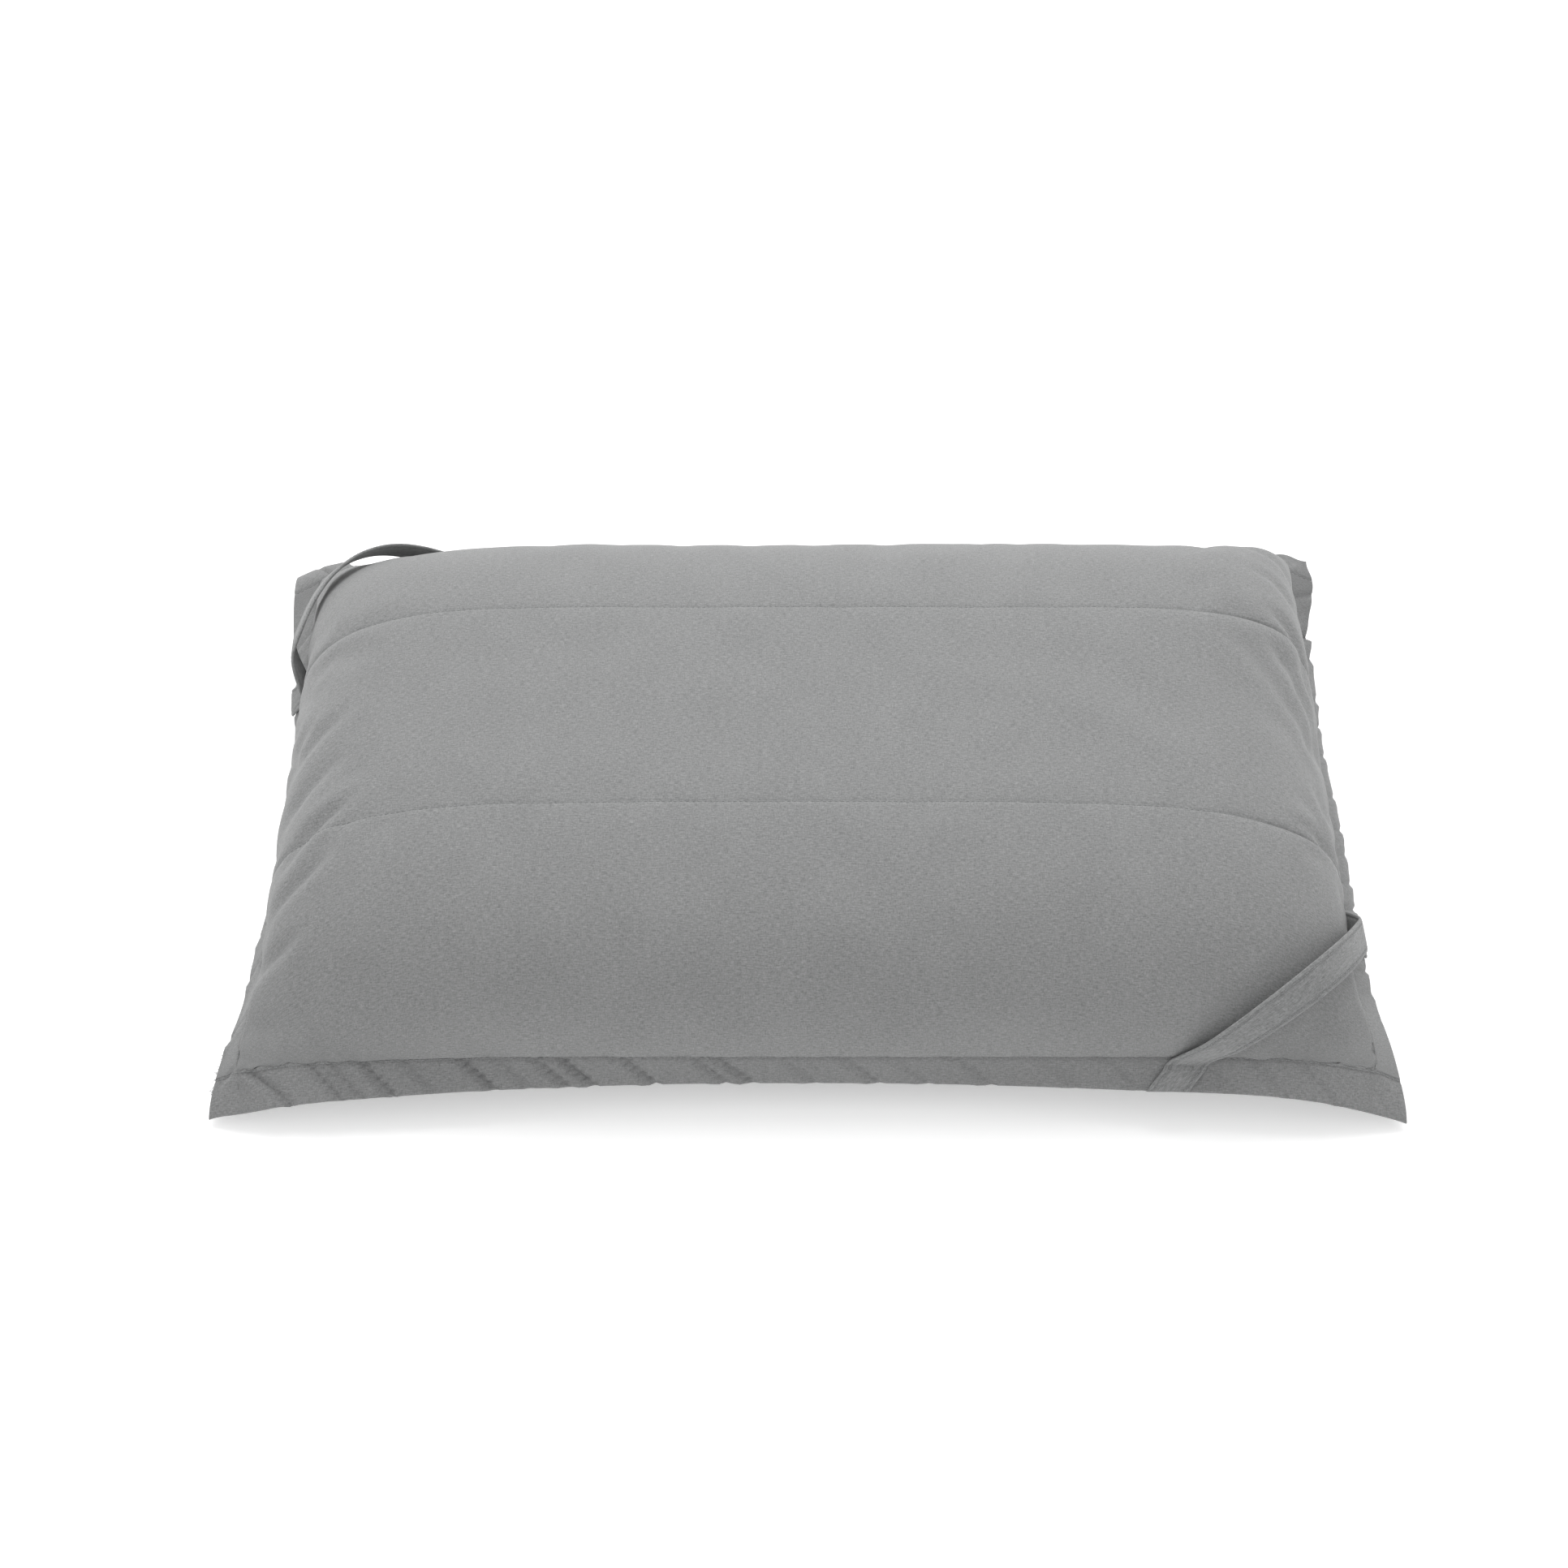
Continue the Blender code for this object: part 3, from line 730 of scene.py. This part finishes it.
def heathered_cloth(name, dark, light):
    """A matte plain weave of mixed light and dark yarns, with painted shade darkening its creases and
    seams.
    """
    n = Nodes(name)
    place = n.add("Attribute", attribute_name="cloth").outputs["Vector"]
    split = n.add("SeparateXYZ")
    n.link(place, split, 0)

    along_weft = (1 / HEATHER_LENGTH, 1 / (1.2 * WEAVE_PITCH), 1)
    along_warp = (1 / (1.3 * WEAVE_PITCH), 1 / (0.7 * HEATHER_LENGTH), 1)
    weft = n.noise(n.scaled(place, along_weft), 1.0, 2.0, 0.6)
    warp = n.noise(n.scaled(place, along_warp), 1.0, 2.0, 0.6)
    speck = n.noise(place, 1 / SPECK, 1.0)
    cloudy = n.noise(place, 1 / CLOUD, 3.0)
    mixed = n.math("ADD", n.math("MULTIPLY", weft, 0.44), n.math("MULTIPLY", warp, 0.26))
    mixed = n.math("ADD", mixed, n.math("MULTIPLY", speck, 0.24))
    mixed = n.math("ADD", mixed, n.math("MULTIPLY", cloudy, 0.06))
    color = n.ramp(mixed, ((0.36, dark), (0.64, light)))

    sine_x = n.math("SINE", n.math("MULTIPLY", split.outputs["X"], math.pi / WEAVE_PITCH))
    sine_y = n.math("SINE", n.math("MULTIPLY", split.outputs["Y"], math.pi / WEAVE_PITCH))
    over = n.math("ADD", n.math("MULTIPLY", n.math("MULTIPLY", sine_x, sine_y), 0.5), 0.5)
    under = n.math("SUBTRACT", 1.0, over)
    yarns = n.math("ADD", n.math("MULTIPLY", n.math("ABSOLUTE", sine_x), over),
                   n.math("MULTIPLY", n.math("ABSOLUTE", sine_y), under))
    # Painted shade: the base colour is darkened where the painted-shade attribute is high.
    painted_shade = n.add("Attribute", attribute_name="painted_shade").outputs["Fac"]
    shade = n.math("ADD", n.math("MULTIPLY", yarns, 0.16), 0.90)
    painted_darkening = n.math("MULTIPLY", painted_shade, CREASE_PAINTED_SHADE)
    shade = n.math("MULTIPLY", shade, n.math("SUBTRACT", 1.0, painted_darkening))
    darker = n.add("Mix", data_type="RGBA", blend_type="MULTIPLY")
    darker.inputs["Factor"].default_value = 1.0
    n.link(color, darker, "A")
    n.link(shade, darker, "B")
    n.link(darker.outputs["Result"], n.shader, "Base Color")

    slub = n.math("MULTIPLY", n.math("ADD", weft, warp), 0.5)
    n.bump(n.math("ADD", n.math("MULTIPLY", yarns, 0.45), slub), 0.55, WEAVE_DEPTH)
    n.link(n.math("ADD", n.math("MULTIPLY", mixed, 0.16), 0.80), n.shader, "Roughness")
    n.shader.inputs["Specular IOR Level"].default_value = 0.25
    n.shader.inputs["Sheen Weight"].default_value = 0.18
    n.shader.inputs["Sheen Roughness"].default_value = 0.55
    return n.material


def sewing_thread(name, dark, light):
    """Sewing thread with a fine mottle and a soft sheen."""
    n = Nodes(name)
    coords = n.add("TexCoord").outputs["Object"]
    plies = n.noise(coords, 1 / THREAD_GRAIN, 1.0)
    color = n.ramp(plies, ((0.35, dark), (0.65, light)))
    n.link(color, n.shader, "Base Color")
    n.bump(plies, 0.4, 0.0001)
    n.shader.inputs["Roughness"].default_value = 0.7
    n.shader.inputs["Specular IOR Level"].default_value = 0.3
    n.shader.inputs["Sheen Weight"].default_value = 0.2
    return n.material


def fluffy(name, dark, light, grain, depth, rough=0.95):
    """Wadding, fibre or foam: a mottled surface with fine fluff or open cells."""
    n = Nodes(name)
    coords = n.add("TexCoord").outputs["Object"]
    fine = n.noise(coords, 1 / grain, 4.0, 0.7)
    broad = n.noise(coords, 1 / (12 * grain), 2.0)
    mixed = n.math("ADD", n.math("MULTIPLY", fine, 0.7), n.math("MULTIPLY", broad, 0.3))
    n.link(n.ramp(mixed, ((0.35, dark), (0.65, light))), n.shader, "Base Color")
    n.bump(fine, 0.8, depth)
    n.shader.inputs["Roughness"].default_value = rough
    n.shader.inputs["Sheen Weight"].default_value = 0.3
    return n.material


COVER = heathered_cloth("cover_weave", (0.150, 0.153, 0.153), (0.298, 0.300, 0.300))
BASE = heathered_cloth("base_weave", (0.142, 0.145, 0.145), (0.282, 0.285, 0.285))
STRAP = heathered_cloth("strap_weave", (0.146, 0.149, 0.149), (0.290, 0.293, 0.293))
THREAD = sewing_thread("grey_thread", (0.17, 0.175, 0.175), (0.27, 0.275, 0.275))
WADDING_WHITE = fluffy("wadding_white", (0.62, 0.62, 0.60), (0.86, 0.86, 0.84), 0.0009, 0.0006)
BACKING_WHITE = fluffy("backing_cloth_white", (0.58, 0.58, 0.56), (0.76, 0.76, 0.74), 0.0004, 0.0001)
FIBRE_WHITE = fluffy("fibre_white", (0.66, 0.66, 0.64), (0.90, 0.90, 0.88), 0.0014, 0.0012)
FOAM_GREY = fluffy("foam_cells", (0.30, 0.31, 0.31), (0.52, 0.53, 0.53), 0.0007, 0.0004)


# ---- covers
pad = Pad()


def finish_piece(obj, slot, body, *nodes):
    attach(obj, body)
    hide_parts(*nodes)
    return obj


def build_covers():
    outer, inner = pad.sides(True)
    top = shell("top_panel", outer, inner, pad.cloth, pad.painted_shade, COVER, True)
    finish_piece(top, "cover_fabric", "pad", "top_cover")

    outer, inner = pad.sides(False)
    bottom = shell("bottom_panel", outer, inner, pad.cloth, pad.painted_shade, BASE, False)
    finish_piece(bottom, "base_fabric", "pad", "bottom_cover")


# ---- what is inside
WADDING = 0.0040
BACKING = 0.0005
LAYER_GAP = 0.0006
FILL_DEPTH = 0.0075
LAYER_MARGIN = 0.030
FILL_MARGIN = 0.052
FOAM_EDGE = 0.009
FOAM_HALF_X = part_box("foam_core")[1].x
FOAM_HALF_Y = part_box("foam_core")[1].y
FOAM_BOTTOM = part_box("foam_core")[0].z
FOAM_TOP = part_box("foam_core")[1].z


def inner_part(margin, step=2):
    """Every second grid line of the crown, leaving a margin of cloth inside the seam."""
    inside_x = np.where(np.abs(pad.cloth[:, 0, 0]) < CLOTH_HALF_X - margin)[0][::step]
    inside_y = np.where(np.abs(pad.cloth[0, :, 1]) < CLOTH_HALF_Y - margin)[0][::step]
    return np.ix_(inside_x, inside_y)


def edge_rounding(shape, softness=4):
    """1 in the middle of a grid, falling to 0 round its edge."""
    i = np.minimum(np.arange(shape[0]), np.arange(shape[0])[::-1]) / softness
    j = np.minimum(np.arange(shape[1]), np.arange(shape[1])[::-1]) / softness
    near = np.minimum(i[:, None], j[None, :])
    return np.sqrt(1 - (1 - np.clip(near, 0, 1)) ** 2)


def build_layer(name, node, slot, material, margin, depth, thickness, puff):
    part = inner_part(margin)
    surface, normals, cloth = pad.top[part], pad.top_normals[part], pad.cloth[part]
    thin = thickness * (0.25 + 0.75 * edge_rounding(surface.shape[:2]))
    fluff = puff * ripples(cloth[..., 0], cloth[..., 1], 0.012)
    outer = surface - normals * depth
    inner = surface - normals * (depth + thin + fluff)[..., None]
    obj = shell(name, outer, inner, cloth, 0.0, material, True)
    return finish_piece(obj, slot, "pad", node)


def build_inside():
    wadding = build_layer("wadding_layer", "quilted_wadding", "wadding", WADDING_WHITE,
                          LAYER_MARGIN, GAP + LAYER_GAP, WADDING - LAYER_GAP, 0.0002)
    backing = build_layer("backing_layer", "quilt_backing_cloth", "backing_cloth", BACKING_WHITE,
                          LAYER_MARGIN, GAP + 2 * LAYER_GAP + WADDING, BACKING, 0)
    part = inner_part(LAYER_MARGIN)

    part = inner_part(FILL_MARGIN)
    surface, normals, cloth = pad.top[part], pad.top_normals[part], pad.cloth[part]
    lumps = 0.0007 * (1 + ripples(cloth[..., 0], cloth[..., 1], 0.030))
    outer = surface - normals * (FILL_DEPTH + np.abs(lumps))[..., None]
    floor = outer.copy()
    floor[..., 2] = FOAM_TOP + LAYER_GAP + 0.0004 * (1 + ripples(cloth[..., 0], cloth[..., 1], 0.02))
    outer[..., 2] = np.maximum(outer[..., 2], floor[..., 2] + 0.002)
    fill = shell("fibre_stuffing", outer, floor, cloth, 0.0, FIBRE_WHITE, True)
    finish_piece(fill, "fibre", "pad", "fibre_fill")

    foam = build_foam()
    finish_piece(foam, "foam", "pad", "foam_core")


def build_foam():
    """A cut slab of foam with eased edges."""
    bpy.ops.mesh.primitive_cube_add(size=1)
    foam = bpy.context.object
    foam.name = "foam_slab"
    for vertex in foam.data.vertices:
        vertex.co.x *= 2 * FOAM_HALF_X
        vertex.co.y *= 2 * FOAM_HALF_Y
        vertex.co.z = FOAM_TOP if vertex.co.z > 0 else FOAM_BOTTOM
    bevel = foam.modifiers.new("eased", "BEVEL")
    bevel.width = FOAM_EDGE
    bevel.segments = 4
    bpy.ops.object.modifier_apply(modifier="eased")
    cuts = foam.modifiers.new("fine", "SUBSURF")
    cuts.subdivision_type = "SIMPLE"
    cuts.levels = 3
    bpy.ops.object.modifier_apply(modifier="fine")
    foam.data.shade_smooth()
    foam.data.materials.clear()
    foam.data.materials.append(FOAM_GREY)
    return foam


# ---- stitching on the pad
STITCH_OUT = 0.0012          # the stitches lie this far outside the seam
STITCH_PITCH = 0.0030
SIDE_SEAM_START = 0.120      # the ends' stitching begins this far in front of the middle
CLOSING_HALF = 0.085
CLOSING_PITCH = 0.0026
QUILT_STITCH_RADIUS = 0.00026


def on_surface(surface, normals, line_x, line_y, lift):
    """Points and normals of a cover's surface at places on the pattern, by interpolation."""
    xs, ys = pad.x[:, 0], pad.y[0]
    i = np.clip(np.searchsorted(xs, line_x) - 1, 0, len(xs) - 2)
    j = np.clip(np.searchsorted(ys, line_y) - 1, 0, len(ys) - 2)
    a = ((line_x - xs[i]) / (xs[i + 1] - xs[i]))[:, None]
    b = ((line_y - ys[j]) / (ys[j + 1] - ys[j]))[:, None]

    def mix(grid):
        low = grid[i, j] * (1 - a) + grid[i + 1, j] * a
        high = grid[i, j + 1] * (1 - a) + grid[i + 1, j + 1] * a
        return low * (1 - b) + high * b

    normal = mix(normals)
    normal /= np.linalg.norm(normal, axis=1, keepdims=True)
    return mix(surface) + normal * lift, normal


def seam_routes():
    """The seam line on the pattern: along the long sides from edge to edge, and the ends."""
    half_x = SPAN_X + STITCH_OUT
    half_y = SPAN_Y + STITCH_OUT
    t = np.linspace(-1, 1, 400)
    reach = (HALF_LENGTH - 0.0015) * t
    end = np.linspace(-SIDE_SEAM_START, half_y, 300)
    return ((reach, -half_y + 0 * t), (half_x + 0 * end, end),
            (-reach, half_y + 0 * t), (-half_x + 0 * end, end[::-1]))


def joined(objects, name):
    """Several meshes as one object."""
    bpy.ops.object.select_all(action="DESELECT")
    for obj in objects:
        obj.select_set(True)
    bpy.context.view_layer.objects.active = objects[0]
    bpy.ops.object.join()
    objects[0].name = name
    return objects[0]


def build_stitching():
    lift = GAP / 2 + CLOTH - 0.0003
    for name, node, surface, normals in (
            ("flange_needle_stitches", "flange_needle_thread", pad.top, pad.top_normals),
            ("flange_bobbin_stitches", "flange_bobbin_thread", pad.bottom, pad.bottom_normals)):
        rows = []
        for x, y in seam_routes():
            route, up = on_surface(surface, normals, x, y, lift)
            rows.append(stitch_line(name, route, up, STITCH_PITCH, THREAD))
        finish_piece(joined(rows, name), "thread", "pad", node)

    y = np.linspace(-CLOSING_HALF, CLOSING_HALF, 200)
    route, up = on_surface(pad.top, pad.top_normals, -(HALF_LENGTH - FLANGE / 3) + 0 * y, y,
                           GAP / 2 + CLOTH)
    obj = stitch_line("closing_stitches", route, up, CLOSING_PITCH, THREAD)
    finish_piece(obj, "thread", "pad", "closing_seam_thread")

    x = np.linspace(-SPAN_X + 0.0006, SPAN_X - 0.0006, 900)
    for side, word in ((-1, "front"), (1, "rear")):
        route, up = on_surface(pad.top, pad.top_normals, x, side * QUILT_Y + 0 * x,
                               GAP / 2 + CLOTH)
        obj = stitch_line(f"quilting_stitches_{word}", route, up, STITCH_PITCH, THREAD,
                          QUILT_STITCH_RADIUS)
        finish_piece(obj, "thread", "pad", f"quilting_thread_{word}")


# ---- corner straps
STRAP_THICK = 0.0020
STRAP_LIFT = GAP / 2 + CLOTH + STRAP_THICK / 2 + 0.0002
STRAP_OUTER_ENDS = ((0.2040, -0.1750), (0.2875, -0.0990))
STRAP_INNER_ENDS = ((0.1820, -0.1750), (0.2865, -0.0775))
STRAP_END_HEIGHT = 0.0370
STRAP_OUTER_BOW = 0.022
STRAP_INNER_BOW = 0.026
STRAP_OUTER_RISE = 0.026
STRAP_INNER_RISE = 0.040
REAR_SLACK = 0.004
# Where the sewn feet lie on the flange's pattern: inner edge, then outer edge.
LONG_SIDE_FOOT = (((0.1710, -0.1895), (0.1920, -0.1895)), ((0.1750, -0.1840), (0.1962, -0.1840)),
                  ((0.1790, -0.1785), (0.2005, -0.1785)), ((0.1822, -0.1735), (0.2040, -0.1738)))
SHORT_SIDE_FOOT = (((0.2835, -0.0775), (0.2835, -0.0990)), ((0.2880, -0.0780), (0.2880, -0.0990)),
                   ((0.2930, -0.0785), (0.2930, -0.0990)), ((0.2985, -0.0790), (0.2985, -0.0990)))
LOOP_STATIONS = (0.07, 0.16, 0.27, 0.38, 0.50, 0.62, 0.73, 0.84, 0.93)
STRAP_RINGS = 150
STRAP_EDGE_STITCH = (0.13, 0.87)
STRAP_WIDTH = 0.020
STRAP_STITCH_PITCH = 0.0024
STRAP_DIP = 0.035            # half width of the dip along a stitch line, as a share of the width
TACK_PITCH = 0.0022
TACK_RING = 10
WEAVE_SHIFT = 0.37           # so that the straps don't repeat the cover's weave


def curve_through(points):
    """Many close points on a smooth curve through control points."""
    points = np.array(points)
    padded = np.concatenate([[2 * points[0] - points[1]], points, [2 * points[-1] - points[-2]]])
    t = np.linspace(0, len(points) - 1, 40 * len(points))
    i = np.minimum(t.astype(int), len(points) - 2)
    f = (t - i)[:, None]
    p0, p1, p2, p3 = padded[i], padded[i + 1], padded[i + 2], padded[i + 3]
    return 0.5 * (2 * p1 + (p2 - p0) * f + (2 * p0 - 5 * p1 + 4 * p2 - p3) * f ** 2
                  + (3 * p1 - p0 - 3 * p2 + p3) * f ** 3)


class Strap:
    """A corner strap as two edge curves: the front-right one, or its half-turn copy."""

    def __init__(self, turn, slack):
        self.turn = turn
        flip = np.array([turn, turn, 1.0])
        outer_ends = [np.array([*end, STRAP_END_HEIGHT]) for end in STRAP_OUTER_ENDS]
        inner_ends = [np.array([*end, STRAP_END_HEIGHT]) for end in STRAP_INNER_ENDS]
        along = outer_ends[1] - outer_ends[0]
        along /= np.linalg.norm(along)
        outward = np.array([along[1], -along[0], 0])

        def loop_edge(ends, bow, rise, t):
            arch = math.sin(math.pi * t)
            lift = np.array([0, 0, (rise + slack) * arch ** 0.8])
            return ends[0] * (1 - t) + ends[1] * t + outward * (bow + slack / 2) * arch ** 0.6 + lift

        edges = []
        for which, ends, bow, rise in ((0, inner_ends, STRAP_INNER_BOW, STRAP_INNER_RISE),
                                       (1, outer_ends, STRAP_OUTER_BOW, STRAP_OUTER_RISE)):
            control = [self.foot(pair[which]) for pair in LONG_SIDE_FOOT]
            control += [flip * loop_edge(ends, bow, rise, t) for t in LOOP_STATIONS]
            control += [self.foot(pair[which]) for pair in SHORT_SIDE_FOOT]
            edges.append(control)
        inner, outer = (curve_through(edge) for edge in edges)
        middle = (inner + outer) / 2
        lengths = np.concatenate([[0], np.cumsum(np.linalg.norm(np.diff(middle, axis=0), axis=1))])
        even = np.linspace(0, lengths[-1], STRAP_RINGS)
        self.inner = np.stack([np.interp(even, lengths, inner[:, k]) for k in range(3)], -1)
        self.outer = np.stack([np.interp(even, lengths, outer[:, k]) for k in range(3)], -1)
        self.even = even
        self.length = lengths[-1]
        width = self.inner - self.outer
        forward = np.gradient((self.inner + self.outer) / 2, axis=0)
        normal = np.cross(forward, width)
        self.normal = normal / np.linalg.norm(normal, axis=1, keepdims=True)

    def foot(self, place):
        x = np.array([self.turn * place[0]])
        y = np.array([self.turn * place[1]])
        return on_surface(pad.top, pad.top_normals, x, y, STRAP_LIFT)[0][0]

    def line(self, share, lift):
        return self.outer * (1 - share) + self.inner * share + self.normal * lift


def strap_section(shares):
    """Half thickness across the strap: rounded edges and a dip along each stitch line."""
    rounded = (1 - np.abs(2 * shares - 1) ** 8) ** 0.5
    dips = sum(np.exp(-((shares - at) / STRAP_DIP) ** 2) for at in STRAP_EDGE_STITCH)
    return STRAP_THICK / 2 * (0.18 + 0.82 * rounded) - 0.00028 * dips


def build_strap(name, turn, slack, long_side, short_side):
    strap = Strap(turn, slack)
    shares = (1 - np.cos(np.linspace(0, math.pi, 33))) / 2
    half = strap_section(shares)
    upper = np.stack([strap.line(s, h) for s, h in zip(shares, half)], 1)
    lower = np.stack([strap.line(s, -h) for s, h in zip(shares, half)], 1)
    across = shares[None, :] * STRAP_WIDTH
    cloth = np.stack(np.broadcast_arrays(strap.even[:, None], across, 0.0), -1)
    # Painted shade along the dips of the strap's two stitch lines.
    painted_shade_values = sum(np.exp(-((shares - at) / STRAP_DIP) ** 2) for at in STRAP_EDGE_STITCH)
    obj = shell(name + "_fabric", upper, lower, cloth + WEAVE_SHIFT * turn,
                0.6 * painted_shade_values[None, :], STRAP, True)
    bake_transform(obj)
    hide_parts(name, long_side, short_side)

    top_face = float(strap_section(np.array([STRAP_EDGE_STITCH[0]]))[0])
    for share, word in zip(STRAP_EDGE_STITCH, ("outer", "inner")):
        route = strap.line(share, top_face)
        stitches = stitch_line(f"{name}_{word}_stitches", route, strap.normal,
                               STRAP_STITCH_PITCH, THREAD)
        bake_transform(stitches)
        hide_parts(f"{name}_{word}_edge_thread")

    for foot, ring in ((long_side, TACK_RING), (short_side, STRAP_RINGS - 1 - TACK_RING)):
        across = np.linspace(0.1, 0.9, 24)[:, None]
        route = (strap.outer[ring] * (1 - across) + strap.inner[ring] * across
                 + strap.normal[ring] * (STRAP_THICK / 2 - 0.0001))
        up = np.repeat(strap.normal[ring][None], len(route), 0)
        tack = stitch_line(f"{foot}_tack_stitches", route, up, TACK_PITCH, THREAD)
        finish_piece(tack, "thread", "pad", f"{foot}_tack_thread")


# ---- frayed edge
FRAYS = 56
FRAY_START = -0.178
FRAY_REACH = 0.16
FRAY_CROWDING = 3.2
FRAY_LENGTH = (0.0010, 0.0030)
FRAY_RINGS = 8
YARN_RADIUS = 0.00016


def build_frays():
    """Loose yarn ends along the raw left edge, thickest at the front-left corner."""
    y = FRAY_START + FRAY_REACH * rng.random(FRAYS) ** FRAY_CROWDING
    x = -(HALF_LENGTH - 0.0006) + 0 * y
    root, normal = on_surface(pad.middle, pad.top_normals, x, y, 0)
    down = root - on_surface(pad.middle, pad.top_normals, x + 0.004, y, 0)[0]
    down /= np.linalg.norm(down, axis=1, keepdims=True)
    sideways = np.cross(normal, down)
    t = np.linspace(0, 1, FRAY_RINGS)
    length = rng.uniform(*FRAY_LENGTH, FRAYS)
    curl = rng.uniform(-0.8, 0.8, (FRAYS, 2))
    centre = (root[:, None] + down[:, None] * (length[:, None] * t)[..., None]
              + sideways[:, None] * (curl[:, :1] * length[:, None] * t ** 2)[..., None]
              + normal[:, None] * (curl[:, 1:] * length[:, None] * t ** 2 * 0.7)[..., None])
    side = np.repeat(sideways[:, None], FRAY_RINGS, 1)
    up = np.repeat(normal[:, None], FRAY_RINGS, 1)
    radii = np.repeat((YARN_RADIUS * (1 - 0.5 * t))[None], FRAYS, 0)
    obj = tubes("frayed_yarn_ends", centre, side, up, radii, THREAD, 5)
    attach(obj, "pad")


build_covers()
build_inside()
build_stitching()
build_strap("front_right_strap", 1, 0.0, "front_strap_tab", "right_strap_tab")
build_strap("rear_left_strap", -1, REAR_SLACK, "rear_strap_tab", "left_strap_tab")
build_frays()


# ---- studio
FLOOR_SIZE = 12
FLOOR_GLOW = 0.30
ROOM_LIGHT = 0.75
CAMERA_LENS = 66.1
CAMERA_AT = (-0.0113, -1.0507, 1.1904)
CAMERA_TILT = 42.66          # degrees up from straight down


def build_floor():
    bpy.ops.mesh.primitive_plane_add(size=FLOOR_SIZE)
    floor = bpy.context.object
    floor.name = "studio_floor"
    n = Nodes("floor_white")
    n.shader.inputs["Base Color"].default_value = (0.92, 0.92, 0.92, 1)
    n.shader.inputs["Roughness"].default_value = 0.9
    n.shader.inputs["Emission Color"].default_value = (1, 1, 1, 1)
    n.shader.inputs["Emission Strength"].default_value = FLOOR_GLOW
    floor.data.materials.append(n.material)


def area_light(name, location, target, size, power):
    light = bpy.data.lights.new(name, "AREA")
    light.shape = "DISK"
    light.size = size
    light.energy = power
    obj = bpy.data.objects.new(name, light)
    obj.location = location
    direction = Vector(target) - Vector(location)
    obj.rotation_euler = direction.to_track_quat("-Z", "Y").to_euler()
    bpy.context.scene.collection.objects.link(obj)


def build_studio():
    build_floor()
    area_light("overhead_rear", (0.0, 1.5, 2.2), (0, 0.05, 0.05), 2.4, 56)
    area_light("front_fill", (-0.6, -2.2, 1.6), (0, 0, 0.05), 2.0, 6)
    world = bpy.data.worlds.new("studio")
    world.use_nodes = True
    world.node_tree.nodes["Background"].inputs["Color"].default_value = (1, 1, 1, 1)
    world.node_tree.nodes["Background"].inputs["Strength"].default_value = ROOM_LIGHT
    bpy.context.scene.world = world
    bpy.context.scene.view_settings.view_transform = "Standard"

    camera = bpy.data.cameras.new("camera")
    camera.sensor_width = 36
    camera.lens = CAMERA_LENS
    obj = bpy.data.objects.new("camera", camera)
    obj.location = CAMERA_AT
    obj.rotation_euler = (math.radians(CAMERA_TILT), 0, 0)
    bpy.context.scene.collection.objects.link(obj)
    bpy.context.scene.camera = obj


build_studio()
